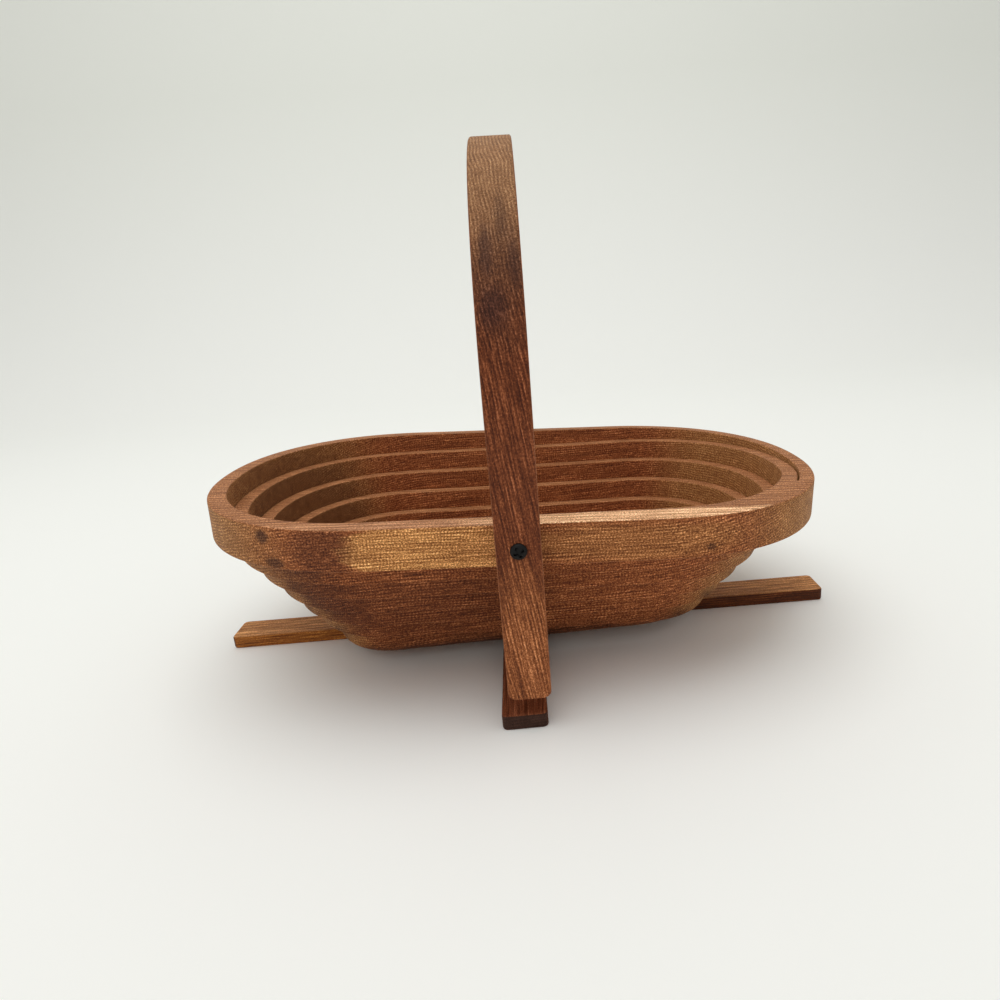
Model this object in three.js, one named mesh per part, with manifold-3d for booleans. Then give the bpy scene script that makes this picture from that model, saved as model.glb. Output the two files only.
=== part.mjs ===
// Collapsible wooden basket. One board, cut by a single leaning spiral saw cut, drops into a bowl.
// A hoop cut from the same stock is its handle, and two slats, halved into each other, are its feet.
// Units are millimetres. +Z is up, +X is the long axis of the bowl, -Y is the front.
import * as THREE from 'three';
import Module from 'manifold-3d';

// Board outline: two super ellipse ends joined by straight sides
const BOARD_HALF_LENGTH = 150;
const BOARD_HALF_WIDTH = 95;
const BOARD_END_LENGTH = 90;
const OUTLINE_POWER = 2.17;
const BOARD_THICKNESS = 18;
const RIM_EDGE_ROUND = 1.4;
const RIM_TOP_HEIGHT = 88.2;
const RIM_TILT_SINE = 0.051;

// Spiral saw cut. Shares are parts of one lap round the board, from where the saw went in.
const KERF_START_ANGLE = -0.541;
const KERF_INSET = 7.6;
const KERF_WIDTH = 0.96;
const KERF_LEAN = 0.06;
const TURN_COUNT = 6;
const TURN_PITCH = 8.1;
const TURN_DROP = 10.53;
const TURN_EDGE_BREAK = 0.5;
const RAMP_END_SHARE = 0.427;
const RAMP_POWER = 1.6;
const BACK_STEP_SHARE = 0.2;
const BACK_STEP_START_SHARE = 0.08;
const BACK_STEP_END_SHARE = 0.4;
const FRONT_STEP_START_SHARE = 0.62;
const PLATE_GAP_START_SHARE = 0.1;
const PLATE_GAP_END_SHARE = 0.3;
const PLATE_EDGE_GAP = 1;
const PLATE_EDGE_ROUND = 4.6;
const TURN_END_GAP = 0.4;

// Handle hoop
const HANDLE_GAP = 1.3;
const HANDLE_THICKNESS = 10;
const HANDLE_WIDTH = 18;
const HANDLE_LEAN = -0.0139;
const HANDLE_FOOT_DEPTH = 64.8;
const HANDLE_FOOT_ROUND = 3.2;
const HANDLE_EDGE_ROUND = 1.2;
const PIVOT_DEPTH = 7.15;

// Crossed slats
const SLAT_WIDTH = 19.5;
const SLAT_THICKNESS = 6.7;
const SLAT_EDGE_ROUND = 0.8;
const SLAT_CORNER_ROUND = 2.4;
const LONG_SLAT_HALF_LENGTH = 162.5;
const LONG_SLAT_YAW = -0.0156;
const CROSS_SLAT_HALF_LENGTH = 104.3;
const CROSS_SLAT_OFFSET = -3.9;
const LAP_GAP = 0.3;

// Screws
const PIVOT_HEAD_RADIUS = 3.4;
const PIVOT_HEAD_HEIGHT = 1.7;
const PIVOT_SHANK_RADIUS = 1.8;
const PIVOT_POINT_LENGTH = 1.8;
const PIVOT_HOLD_DEPTH = 5;
const SLAT_HEAD_RADIUS = 3.4;
const SLAT_HEAD_RIM = 0.3;
const SLAT_HEAD_SINK = 0.4;
const SLAT_SHANK_RADIUS = 1.7;
const SLAT_POINT_LENGTH = 2;
const SLAT_SCREW_LENGTH = 18.6;
const SLAT_SCREW_SPACING = 58;
const SCREW_HOLE_GAP = 0.3;
const SCREW_END_GAP = 0.5;
const RECESS_WIDTH = 1.1;
const RECESS_DEPTH = 1.1;
const RECESS_ROUND = 0.2;

// Fineness of the meshes, and how far a cutting tool overshoots
const LOOP_STEPS = 92;
const ARCH_STEPS = 46;
const SCREW_STEPS = 24;
const CORNER_STEPS = 4;
const TABLE_STEPS = 4000;
const CUT_MARGIN = 1;

const WOOD = { color: 0x9c6238, roughness: 0.62, metalness: 0 };
const DARK_METAL = { color: 0x1d1b1a, roughness: 0.4, metalness: 0.8 };

const STRAIGHT_HALF_LENGTH = BOARD_HALF_LENGTH - BOARD_END_LENGTH;
const FULL_DROP = TURN_DROP * TURN_COUNT;
const TILT_COSINE = Math.sqrt(1 - RIM_TILT_SINE ** 2);
const QUARTER = Math.PI / 2;

const wasm = await Module();
wasm.setup();

const group = new THREE.Group();
group.name = 'collapsible_basket';

function degrees(radians) {
  return (radians * 180) / Math.PI;
}

function held(value) {
  return Math.min(1, Math.max(0, value));
}

function smoothStep(value) {
  const t = held(value);
  return t * t * (3 - 2 * t);
}

// Super ellipse end of the outline: its share along and across at an angle
function endShares(angle) {
  const power = 2 / OUTLINE_POWER;
  const raised = (value) => Math.sign(value) * Math.abs(value) ** power;
  return [raised(Math.cos(angle)), raised(Math.sin(angle))];
}

// Point of the outline on the end at side 1 or -1, moved inwards by inset
function outlinePoint(angle, side, inset) {
  const [along, across] = endShares(angle);
  return [
    (BOARD_END_LENGTH - inset) * along + side * STRAIGHT_HALF_LENGTH,
    (BOARD_HALF_WIDTH - inset) * across,
  ];
}

// Arc length along the outer outline, anticlockwise from where the saw went in
function makeLapTable() {
  const sideAt = (angle) => (Math.cos(angle) >= 0 ? 1 : -1);
  const table = [{ length: 0, angle: KERF_START_ANGLE, side: sideAt(KERF_START_ANGLE) }];
  for (let i = 1; i <= TABLE_STEPS; i += 1) {
    const angle = KERF_START_ANGLE + (2 * Math.PI * i) / TABLE_STEPS;
    const side = sideAt(angle);
    const before = table[table.length - 1];
    let { length } = before;
    if (side !== before.side) {
      // The straight side lies between the two ends, so both of its corners are entered
      const corner = Math.round(angle / QUARTER) * QUARTER;
      table.push({ length, angle: corner, side: before.side });
      length += 2 * STRAIGHT_HALF_LENGTH;
      table.push({ length, angle: corner, side });
    } else {
      const a = outlinePoint(before.angle, side, 0);
      const b = outlinePoint(angle, side, 0);
      length += Math.hypot(b[0] - a[0], b[1] - a[1]);
    }
    table.push({ length, angle, side });
  }
  const total = table[table.length - 1].length;
  return table.map((entry) => ({ ...entry, share: entry.length / total }));
}

const LAP_TABLE = makeLapTable();

// Point at a share of the lap, moved inwards by inset
function lapPoint(share, inset) {
  const wanted = share - Math.floor(share);
  let low = 0;
  let high = LAP_TABLE.length - 1;
  while (high - low > 1) {
    const middle = Math.floor((low + high) / 2);
    if (LAP_TABLE[middle].share <= wanted) {
      low = middle;
    } else {
      high = middle;
    }
  }
  const [a, b] = [LAP_TABLE[low], LAP_TABLE[high]];
  const span = b.share - a.share;
  const part = span > 0 ? (wanted - a.share) / span : 0;
  return mix(outlinePoint(a.angle, a.side, inset), outlinePoint(b.angle, b.side, inset), part);
}

// Share of the lap that spans a distance at a given inset
function lapShareOf(distance, share, inset) {
  const step = 1 / TABLE_STEPS;
  const a = lapPoint(share - step, inset);
  const b = lapPoint(share + step, inset);
  return (distance * 2 * step) / Math.hypot(b[0] - a[0], b[1] - a[1]);
}

function mix(a, b, part) {
  return a.map((value, i) => value + part * (b[i] - value));
}

// Inset of one wall of the kerf: side -1 is its outer wall, 1 its inner wall. In each lap the kerf
// moves in by one pitch, a little along the back and the rest along the front.
function kerfWall(turn, share, depth, side) {
  const backSpan = BACK_STEP_END_SHARE - BACK_STEP_START_SHARE;
  const back = smoothStep((share - BACK_STEP_START_SHARE) / backSpan);
  const front = smoothStep((share - FRONT_STEP_START_SHARE) / (1 - FRONT_STEP_START_SHARE));
  const stepped = BACK_STEP_SHARE * back + (1 - BACK_STEP_SHARE) * front;
  const middle = KERF_INSET + TURN_PITCH * (turn - 1 + stepped);
  return middle + (side * KERF_WIDTH) / 2 + KERF_LEAN * (depth - BOARD_THICKNESS / 2);
}

// Part of one turn's drop that is reached at a share of the lap
function rampPart(share) {
  return 1 - (1 - held(share / RAMP_END_SHARE)) ** RAMP_POWER;
}

// Board point, with w above the rim's top, on the tilted axis that the turns drop along
function tilted([u, v, w]) {
  return [
    u * TILT_COSINE + w * RIM_TILT_SINE,
    v,
    RIM_TOP_HEIGHT - u * RIM_TILT_SINE + w * TILT_COSINE,
  ];
}

const PLATE_CENTRE = tilted([0, 0, -FULL_DROP]);

// Board point on the bottom plate, which is fully dropped and level
function level([u, v, w]) {
  return [PLATE_CENTRE[0] + u, v, PLATE_CENTRE[2] + w + FULL_DROP];
}

// Solid from points and triangles, turned the right way out
function solid(points, triangles) {
  let volume = 0;
  for (const corners of triangles) {
    const [a, b, c] = corners.map((i) => new THREE.Vector3(...points[i]));
    volume += a.dot(b.cross(c));
  }
  const outward = volume < 0 ? triangles.map(([a, b, c]) => [a, c, b]) : triangles;
  return new wasm.Manifold(new wasm.Mesh({
    numProp: 3,
    vertProperties: new Float32Array(points.flat()),
    triVerts: new Uint32Array(outward.flat()),
  }));
}

// Triangles that fill a flat ring
function capTriangles(ring) {
  const corner = new THREE.Vector3(...ring[0]);
  const arms = ring.map((point) => new THREE.Vector3(...point).sub(corner));
  const normal = new THREE.Vector3();
  arms.forEach((arm, i) => {
    normal.add(arm.clone().cross(arms[(i + 1) % arms.length]));
  });
  normal.normalize();
  const turn = new THREE.Quaternion().setFromUnitVectors(normal, new THREE.Vector3(0, 0, 1));
  const flat = arms.map((arm) => arm.applyQuaternion(turn)).map(({ x, y }) => new THREE.Vector2(x, y));
  return THREE.ShapeUtils.triangulateShape(flat, []);
}

// Solid skinned over rings that all have the same number of points
function skin(rings, closed = false) {
  const count = rings[0].length;
  const triangles = [];
  const rows = closed ? rings.length : rings.length - 1;
  for (let i = 0; i < rows; i += 1) {
    const here = i * count;
    const next = ((i + 1) % rings.length) * count;
    for (let j = 0; j < count; j += 1) {
      const k = (j + 1) % count;
      triangles.push([here + j, next + j, next + k], [here + j, next + k, here + k]);
    }
  }
  if (!closed) {
    const last = (rings.length - 1) * count;
    triangles.push(...capTriangles(rings[0]));
    triangles.push(...capTriangles(rings[rings.length - 1]).map(([a, b, c]) => (
      [last + a, last + c, last + b])));
  }
  return solid(rings.flat(), triangles);
}

// Solid turned about Z from pairs of radius and height. The first and last lie on the axis.
function turned(profile) {
  const rows = profile.slice(1, -1);
  const points = [[0, 0, profile[0][1]]];
  for (const [radius, height] of rows) {
    for (let j = 0; j < SCREW_STEPS; j += 1) {
      const angle = (2 * Math.PI * j) / SCREW_STEPS;
      points.push([radius * Math.cos(angle), radius * Math.sin(angle), height]);
    }
  }
  points.push([0, 0, profile[profile.length - 1][1]]);
  const top = points.length - 1;
  const last = top - SCREW_STEPS;
  const triangles = [];
  for (let j = 0; j < SCREW_STEPS; j += 1) {
    const k = (j + 1) % SCREW_STEPS;
    triangles.push([0, 1 + k, 1 + j], [top, last + j, last + k]);
    for (let here = 1; here < last; here += SCREW_STEPS) {
      const next = here + SCREW_STEPS;
      triangles.push([here + j, here + k, next + k], [here + j, next + k, next + j]);
    }
  }
  return solid(points, triangles);
}

// Rectangle with round corners, centred, as a ring of pairs
function roundedRectangle(width, height, round, steps = CORNER_STEPS) {
  const ring = [];
  for (let quarter = 0; quarter < 4; quarter += 1) {
    const signs = [[1, 1], [-1, 1], [-1, -1], [1, -1]][quarter];
    for (let i = 0; i <= steps; i += 1) {
      const angle = (quarter + i / steps) * QUARTER;
      ring.push([
        signs[0] * (width / 2 - round) + round * Math.cos(angle),
        signs[1] * (height / 2 - round) + round * Math.sin(angle),
      ]);
    }
  }
  return ring;
}

// Block along Z between two heights with a rounded rectangle plan and square edges
function block(width, depth, low, high, round) {
  const plan = roundedRectangle(width, depth, round, 2);
  return skin([low, high].map((z) => plan.map(([x, y]) => [x, y, z])));
}

function add(name, body, look) {
  const { vertProperties, triVerts } = body.getMesh();
  const geometry = new THREE.BufferGeometry();
  geometry.setAttribute('position', new THREE.Float32BufferAttribute(vertProperties, 3));
  geometry.setIndex(new THREE.BufferAttribute(new Uint32Array(triVerts), 1));
  geometry.computeVertexNormals();
  const mesh = new THREE.Mesh(geometry, new THREE.MeshStandardMaterial(look));
  mesh.name = name;
  group.add(mesh);
}

// Shares of the lap between two ends, on the grid that all turns have in common
function lapShares(from, to) {
  const inside = [];
  for (let i = 0; i <= LOOP_STEPS; i += 1) {
    const share = i / LOOP_STEPS;
    if (Math.min(share - from, to - share) > 0.2 / LOOP_STEPS) {
      inside.push(share);
    }
  }
  return [from, ...inside, to];
}

// Section of a turn as pairs of inset and depth, with its top edges broken
function turnSection(turn, share, extraGap) {
  const c = TURN_EDGE_BREAK;
  const outer = (depth) => kerfWall(turn, share, depth, 1) + extraGap;
  const inner = (depth) => kerfWall(turn + 1, share, depth, -1);
  return [
    [outer(c), c],
    [outer(0) + c, 0],
    [inner(0) - c, 0],
    [inner(c), c],
    [inner(BOARD_THICKNESS), BOARD_THICKNESS],
    [outer(BOARD_THICKNESS), BOARD_THICKNESS],
  ];
}

// Stretch of one turn. The last turn twists from the tilted axis to the level plate.
function turnSolid(turn, from, to) {
  const last = turn === TURN_COUNT;
  const gapSpan = PLATE_GAP_END_SHARE - PLATE_GAP_START_SHARE;
  return skin(lapShares(from, to).map((share) => {
    const part = rampPart(share);
    const gap = last ? PLATE_EDGE_GAP * held((share - PLATE_GAP_START_SHARE) / gapSpan) : 0;
    return turnSection(turn, share, gap).map(([inset, depth]) => {
      const plan = lapPoint(share, inset);
      if (last) {
        const high = tilted([...plan, -depth - TURN_DROP * (turn - 1)]);
        return mix(high, level([...plan, -depth - FULL_DROP]), part);
      }
      return tilted([...plan, -depth - TURN_DROP * (turn - 1 + part)]);
    });
  }));
}

// Rim hoop: an even ring, and a wedge inside it where the kerf steps inwards
function rimSolid() {
  const c = TURN_EDGE_BREAK;
  const r = RIM_EDGE_ROUND;
  const soft = r * (1 - Math.SQRT1_2);
  const T = BOARD_THICKNESS;
  const ringAt = (share, section) => section.map(([inset, depth]) => (
    tilted([...lapPoint(share, inset), -depth])));
  const even = [];
  for (let i = 0; i < LOOP_STEPS; i += 1) {
    const inner = (depth) => kerfWall(1, 0, depth, -1);
    even.push(ringAt(i / LOOP_STEPS, [
      [inner(c), c], [inner(0) - c, 0], [r, 0], [soft, soft], [0, r],
      [0, T - r], [soft, T - soft], [r, T], [inner(T), T],
    ]));
  }
  const root = KERF_INSET / 2;
  const end = 1 - lapShareOf(TURN_END_GAP / 2, 1, KERF_INSET + TURN_PITCH / 2);
  const wedge = lapShares(BACK_STEP_START_SHARE, end).map((share) => {
    const inner = (depth) => kerfWall(1, share, depth, -1);
    return ringAt(share, [[inner(c), c], [inner(0) - c, 0], [root, 0], [root, T], [inner(T), T]]);
  });
  return skin(even, true).add(skin(wedge));
}

// Bottom plate: all that lies inside the last lap of the kerf
function plateSolid() {
  const c = TURN_EDGE_BREAK;
  const start = RAMP_END_SHARE + lapShareOf(TURN_END_GAP / 2, RAMP_END_SHARE,
    KERF_INSET + TURN_PITCH * TURN_COUNT);
  const stations = [
    ...lapShares(0, start).map((share) => [TURN_COUNT + 1, share]),
    ...lapShares(start, 1 - 1 / TABLE_STEPS).map((share) => [TURN_COUNT, share]),
  ];
  const layer = (depth, edge) => stations.map(([turn, share]) => {
    const inset = kerfWall(turn, share, depth, 1) + PLATE_EDGE_GAP + edge;
    return level([...lapPoint(share, inset), -depth - FULL_DROP]);
  });
  const r = PLATE_EDGE_ROUND;
  const rounded = [];
  for (let i = 0; i <= CORNER_STEPS; i += 1) {
    const angle = (i / CORNER_STEPS) * QUARTER;
    rounded.push(layer(BOARD_THICKNESS - r * (1 - Math.cos(angle)), r * (1 - Math.sin(angle))));
  }
  return skin([...rounded, layer(c, 0), layer(0, c)]);
}

const PIVOT_HEIGHT = tilted([0, 0, -PIVOT_DEPTH])[2];

// Handle hoop in its own upright plane, with the pivot at the origin: the board's outline, moved
// outwards, with its second end left off and its sides run down as legs
function handleSolid() {
  const section = roundedRectangle(HANDLE_THICKNESS, HANDLE_WIDTH, HANDLE_EDGE_ROUND, 2);
  const ringAt = (point) => section.map(([t, x]) => {
    const [y, z] = point(-HANDLE_GAP - HANDLE_THICKNESS / 2 - t);
    return [x, y, z];
  });
  const foot = (side) => ringAt((inset) => [side * (BOARD_HALF_WIDTH - inset), -HANDLE_FOOT_DEPTH]);
  const rings = [foot(-1)];
  for (let i = 0; i <= ARCH_STEPS; i += 1) {
    const angle = Math.PI * (1 - i / ARCH_STEPS) - QUARTER;
    rings.push(ringAt((inset) => {
      const [rise, across] = outlinePoint(angle, 1, inset);
      return [-across, rise];
    }));
  }
  rings.push(foot(1));
  let body = skin(rings);
  for (const side of [-1, 1]) {
    for (const edge of [-1, 1]) {
      body = body.subtract(footWaste(side, edge));
    }
  }
  return body;
}

// Waste outside one rounded lower corner of a handle leg
function footWaste(side, edge) {
  const r = HANDLE_FOOT_ROUND;
  const half = HANDLE_WIDTH / 2;
  const ring = [
    [half + CUT_MARGIN, -HANDLE_FOOT_DEPTH - CUT_MARGIN],
    [half + CUT_MARGIN, -HANDLE_FOOT_DEPTH + r],
  ];
  for (let i = 0; i <= CORNER_STEPS; i += 1) {
    const angle = (i / CORNER_STEPS) * QUARTER;
    ring.push([half - r + r * Math.cos(angle), -HANDLE_FOOT_DEPTH + r - r * Math.sin(angle)]);
  }
  ring.push([half - r, -HANDLE_FOOT_DEPTH - CUT_MARGIN]);
  const inner = BOARD_HALF_WIDTH + HANDLE_GAP - CUT_MARGIN;
  const outer = BOARD_HALF_WIDTH + HANDLE_GAP + HANDLE_THICKNESS + CUT_MARGIN;
  return skin([inner, outer].map((y) => ring.map(([x, z]) => [edge * x, side * y, z])));
}

// Cross shaped driver recess, to be sunk into a face at height 0
function recess(headRadius) {
  const blade = block(RECESS_WIDTH, headRadius * 1.25, -RECESS_DEPTH, RECESS_DEPTH, RECESS_ROUND);
  return blade.add(blade.rotate([0, 0, 90]));
}

// Pivot screw along Z, with the underside of its pan head at height 0
function pivotScrew() {
  const r = PIVOT_HEAD_RADIUS;
  const s = PIVOT_SHANK_RADIUS;
  const h = PIVOT_HEAD_HEIGHT;
  const tip = -SCREW_HOLE_GAP - HANDLE_THICKNESS - HANDLE_GAP - PIVOT_HOLD_DEPTH;
  const body = turned([
    [0, tip], [s / 3, tip], [s, tip + PIVOT_POINT_LENGTH], [s, 0], [r, 0], [r, h * 0.35],
    [r * 0.86, h * 0.75], [r * 0.55, h * 0.96], [r * 0.4, h], [0, h],
  ]);
  return body.subtract(recess(r).translate([0, 0, h]));
}

// Countersunk slat screw along Z, with the face of its head at height 0
function slatScrew(grow, extraLength, under) {
  const r = SLAT_HEAD_RADIUS + grow;
  const s = SLAT_SHANK_RADIUS + grow;
  const rim = SLAT_HEAD_RIM + grow / 2;
  const tip = SLAT_SCREW_LENGTH + extraLength;
  return turned([
    [0, -under], [r, -under], [r, rim], [s, rim + r - s],
    [s, tip - SLAT_POINT_LENGTH], [s / 3, tip], [0, tip],
  ]);
}

// Slat along X at the origin, standing on height 0, with round corners and edges
function slatSolid(halfLength) {
  const e = SLAT_EDGE_ROUND;
  const soft = e * (1 - Math.SQRT1_2);
  const layers = [[e, 0], [soft, soft], [0, e]];
  const heights = [
    ...layers,
    ...layers.map(([edge, height]) => [edge, SLAT_THICKNESS - height]).reverse(),
  ];
  return skin(heights.map(([edge, z]) => (
    roundedRectangle(2 * (halfLength - edge), SLAT_WIDTH - 2 * edge, SLAT_CORNER_ROUND - edge)
      .map(([x, y]) => [x, y, z]))));
}

// Rim, handle and pivots
let rim = rimSolid();
let handle = handleSolid().rotate([0, degrees(-HANDLE_LEAN), 0]).translate([0, 0, PIVOT_HEIGHT]);
const pivotReach = HANDLE_THICKNESS + HANDLE_GAP + PIVOT_HOLD_DEPTH + SCREW_END_GAP;
const pivotHole = turned([
  [0, -pivotReach],
  [PIVOT_SHANK_RADIUS + SCREW_HOLE_GAP, -pivotReach],
  [PIVOT_SHANK_RADIUS + SCREW_HOLE_GAP, CUT_MARGIN],
  [0, CUT_MARGIN],
]);
for (const [name, side] of [['front', -1], ['back', 1]]) {
  const outside = side * (BOARD_HALF_WIDTH + HANDLE_GAP + HANDLE_THICKNESS);
  const outwards = (body) => body.rotate([-90 * side, 0, 0]).translate([0, outside, PIVOT_HEIGHT]);
  rim = rim.subtract(outwards(pivotHole));
  handle = handle.subtract(outwards(pivotHole));
  const screw = pivotScrew().translate([0, 0, SCREW_HOLE_GAP]);
  add(`pivot_screw_${name}`, outwards(screw), DARK_METAL);
}
add('rim_hoop', rim, WOOD);
add('handle_hoop', handle, WOOD);

// Turns: a ramp along the right end and the back, then a level stretch along the front
for (let turn = 1; turn <= TURN_COUNT; turn += 1) {
  const middle = (share) => (kerfWall(turn, share, 0, 1) + kerfWall(turn + 1, share, 0, -1)) / 2;
  const gapAt = (share) => lapShareOf(TURN_END_GAP / 2, share, middle(share));
  add(`spiral_ramp_${turn}`, turnSolid(turn, gapAt(0), RAMP_END_SHARE - gapAt(RAMP_END_SHARE)), WOOD);
  if (turn < TURN_COUNT) {
    const from = RAMP_END_SHARE + gapAt(RAMP_END_SHARE);
    add(`spiral_level_${turn}`, turnSolid(turn, from, 1 - gapAt(1)), WOOD);
  }
}

// Slats, lapped halfway into each other: the long one keeps its top, the cross one its underside
const yaw = degrees(LONG_SLAT_YAW);
const lapSize = SLAT_WIDTH + 2 * LAP_GAP;
const lapHeight = SLAT_THICKNESS / 2;
const crossPlace = [CROSS_SLAT_OFFSET, 0, 0];
const lowLap = block(lapSize, 2 * SLAT_WIDTH, -CUT_MARGIN, lapHeight + LAP_GAP / 2, LAP_GAP);
const highLap = block(2 * SLAT_WIDTH, lapSize, lapHeight - LAP_GAP / 2,
  SLAT_THICKNESS + CUT_MARGIN, LAP_GAP);
let longSlat = slatSolid(LONG_SLAT_HALF_LENGTH).rotate([0, 0, yaw])
  .subtract(lowLap.translate(crossPlace));
let crossSlat = slatSolid(CROSS_SLAT_HALF_LENGTH).rotate([0, 0, 90]).translate(crossPlace)
  .subtract(highLap.rotate([0, 0, yaw]).translate(crossPlace));

// Plate, and the screws that hold it to the slats
let plate = plateSolid();
const slatHole = slatScrew(SCREW_HOLE_GAP, SCREW_END_GAP, CUT_MARGIN);
const slatScrews = [
  ['left', -SLAT_SCREW_SPACING],
  ['centre', CROSS_SLAT_OFFSET],
  ['right', SLAT_SCREW_SPACING],
];
for (const [name, x] of slatScrews) {
  const place = [x, x * Math.tan(LONG_SLAT_YAW), SLAT_HEAD_SINK];
  longSlat = longSlat.subtract(slatHole.translate(place));
  crossSlat = crossSlat.subtract(slatHole.translate(place));
  plate = plate.subtract(slatHole.translate(place));
  const screw = slatScrew(0, 0, 0).subtract(recess(SLAT_HEAD_RADIUS));
  add(`slat_screw_${name}`, screw.translate(place), DARK_METAL);
}
add('bottom_plate', plate, WOOD);
add('long_slat', longSlat, WOOD);
add('cross_slat', crossSlat, WOOD);

export default group;
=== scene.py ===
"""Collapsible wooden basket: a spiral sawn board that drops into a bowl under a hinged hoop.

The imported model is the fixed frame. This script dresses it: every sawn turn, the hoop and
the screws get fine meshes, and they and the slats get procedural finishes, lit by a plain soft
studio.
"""
import logging
import math
from dataclasses import dataclass, field
from enum import Enum
from typing import Any, Sequence

import bmesh
import bpy
import numpy as np
from mathutils import Matrix, Vector

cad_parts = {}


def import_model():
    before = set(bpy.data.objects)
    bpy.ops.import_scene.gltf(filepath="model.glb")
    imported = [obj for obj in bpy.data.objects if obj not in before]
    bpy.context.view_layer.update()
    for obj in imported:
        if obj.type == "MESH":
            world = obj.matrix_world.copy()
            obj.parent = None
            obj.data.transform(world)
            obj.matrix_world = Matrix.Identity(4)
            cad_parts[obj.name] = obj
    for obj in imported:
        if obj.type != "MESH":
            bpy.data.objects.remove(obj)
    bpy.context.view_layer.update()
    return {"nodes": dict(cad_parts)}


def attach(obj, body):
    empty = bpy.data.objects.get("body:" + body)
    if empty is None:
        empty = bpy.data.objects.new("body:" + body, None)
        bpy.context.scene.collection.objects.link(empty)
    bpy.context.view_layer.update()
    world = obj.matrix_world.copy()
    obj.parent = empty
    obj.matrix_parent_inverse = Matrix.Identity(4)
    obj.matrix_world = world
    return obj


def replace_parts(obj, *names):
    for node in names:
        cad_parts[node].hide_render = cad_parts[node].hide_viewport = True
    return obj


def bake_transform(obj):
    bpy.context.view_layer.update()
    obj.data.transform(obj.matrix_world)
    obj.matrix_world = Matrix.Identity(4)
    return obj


LOG = logging.getLogger("basket")
MM = 0.001
# Edges that turn by more degrees than this stay sharp under smooth shading
SHARP_ANGLE = 38.0
# A loop of the kerf ends just short of where it starts again
LOOP_END = 1 - 1e-6
Point = tuple[float, float, float]
Pair = tuple[float, float]


class Axis(Enum):
    """The axes of the shared frame."""

    X = "X"
    Y = "Y"
    Z = "Z"


class Face(Enum):
    """The faces that a patch of colour, the wood's own as well as painted light and shade, shows
    on.
    """

    ALL = "all"
    TOP = "top"
    WALL = "wall"


def linear(code: str) -> tuple[float, float, float, float]:
    """Turns an sRGB hex colour into linear RGBA.

    Args:
        code: six hex digits, with or without a leading hash.

    Returns:
        The linear colour with full alpha.
    """
    digits = code.lstrip("#")
    parts = [int(digits[i:i + 2], 16) / 255 for i in (0, 2, 4)]
    values = [c / 12.92 if c <= 0.04045 else ((c + 0.055) / 1.055) ** 2.4 for c in parts]
    return (values[0], values[1], values[2], 1.0)


def add_node(tree: bpy.types.NodeTree, kind: str, inputs: dict[Any, Any] | None = None,
             **settings: Any) -> bpy.types.Node:
    """Adds one node with its settings, its values and its incoming links.

    Args:
        tree: the node tree that gets the node.
        kind: the node's type name.
        inputs: by input name or index, a value, an output socket, or a node whose first
            live output is meant.
        settings: attributes of the node.

    Returns:
        The new node.
    """
    node = tree.nodes.new(kind)
    for key, value in settings.items():
        setattr(node, key, value)
    for key, value in (inputs or {}).items():
        if isinstance(value, bpy.types.Node):
            value = next(output for output in value.outputs if output.enabled)
        if isinstance(value, bpy.types.NodeSocket):
            tree.links.new(value, node.inputs[key])
        else:
            node.inputs[key].default_value = value
    return node


def smooth_step(value: float) -> float:
    """Returns the eased share of a value held between 0 and 1."""
    t = min(1.0, max(0.0, value))
    return t * t * (3 - 2 * t)


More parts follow.
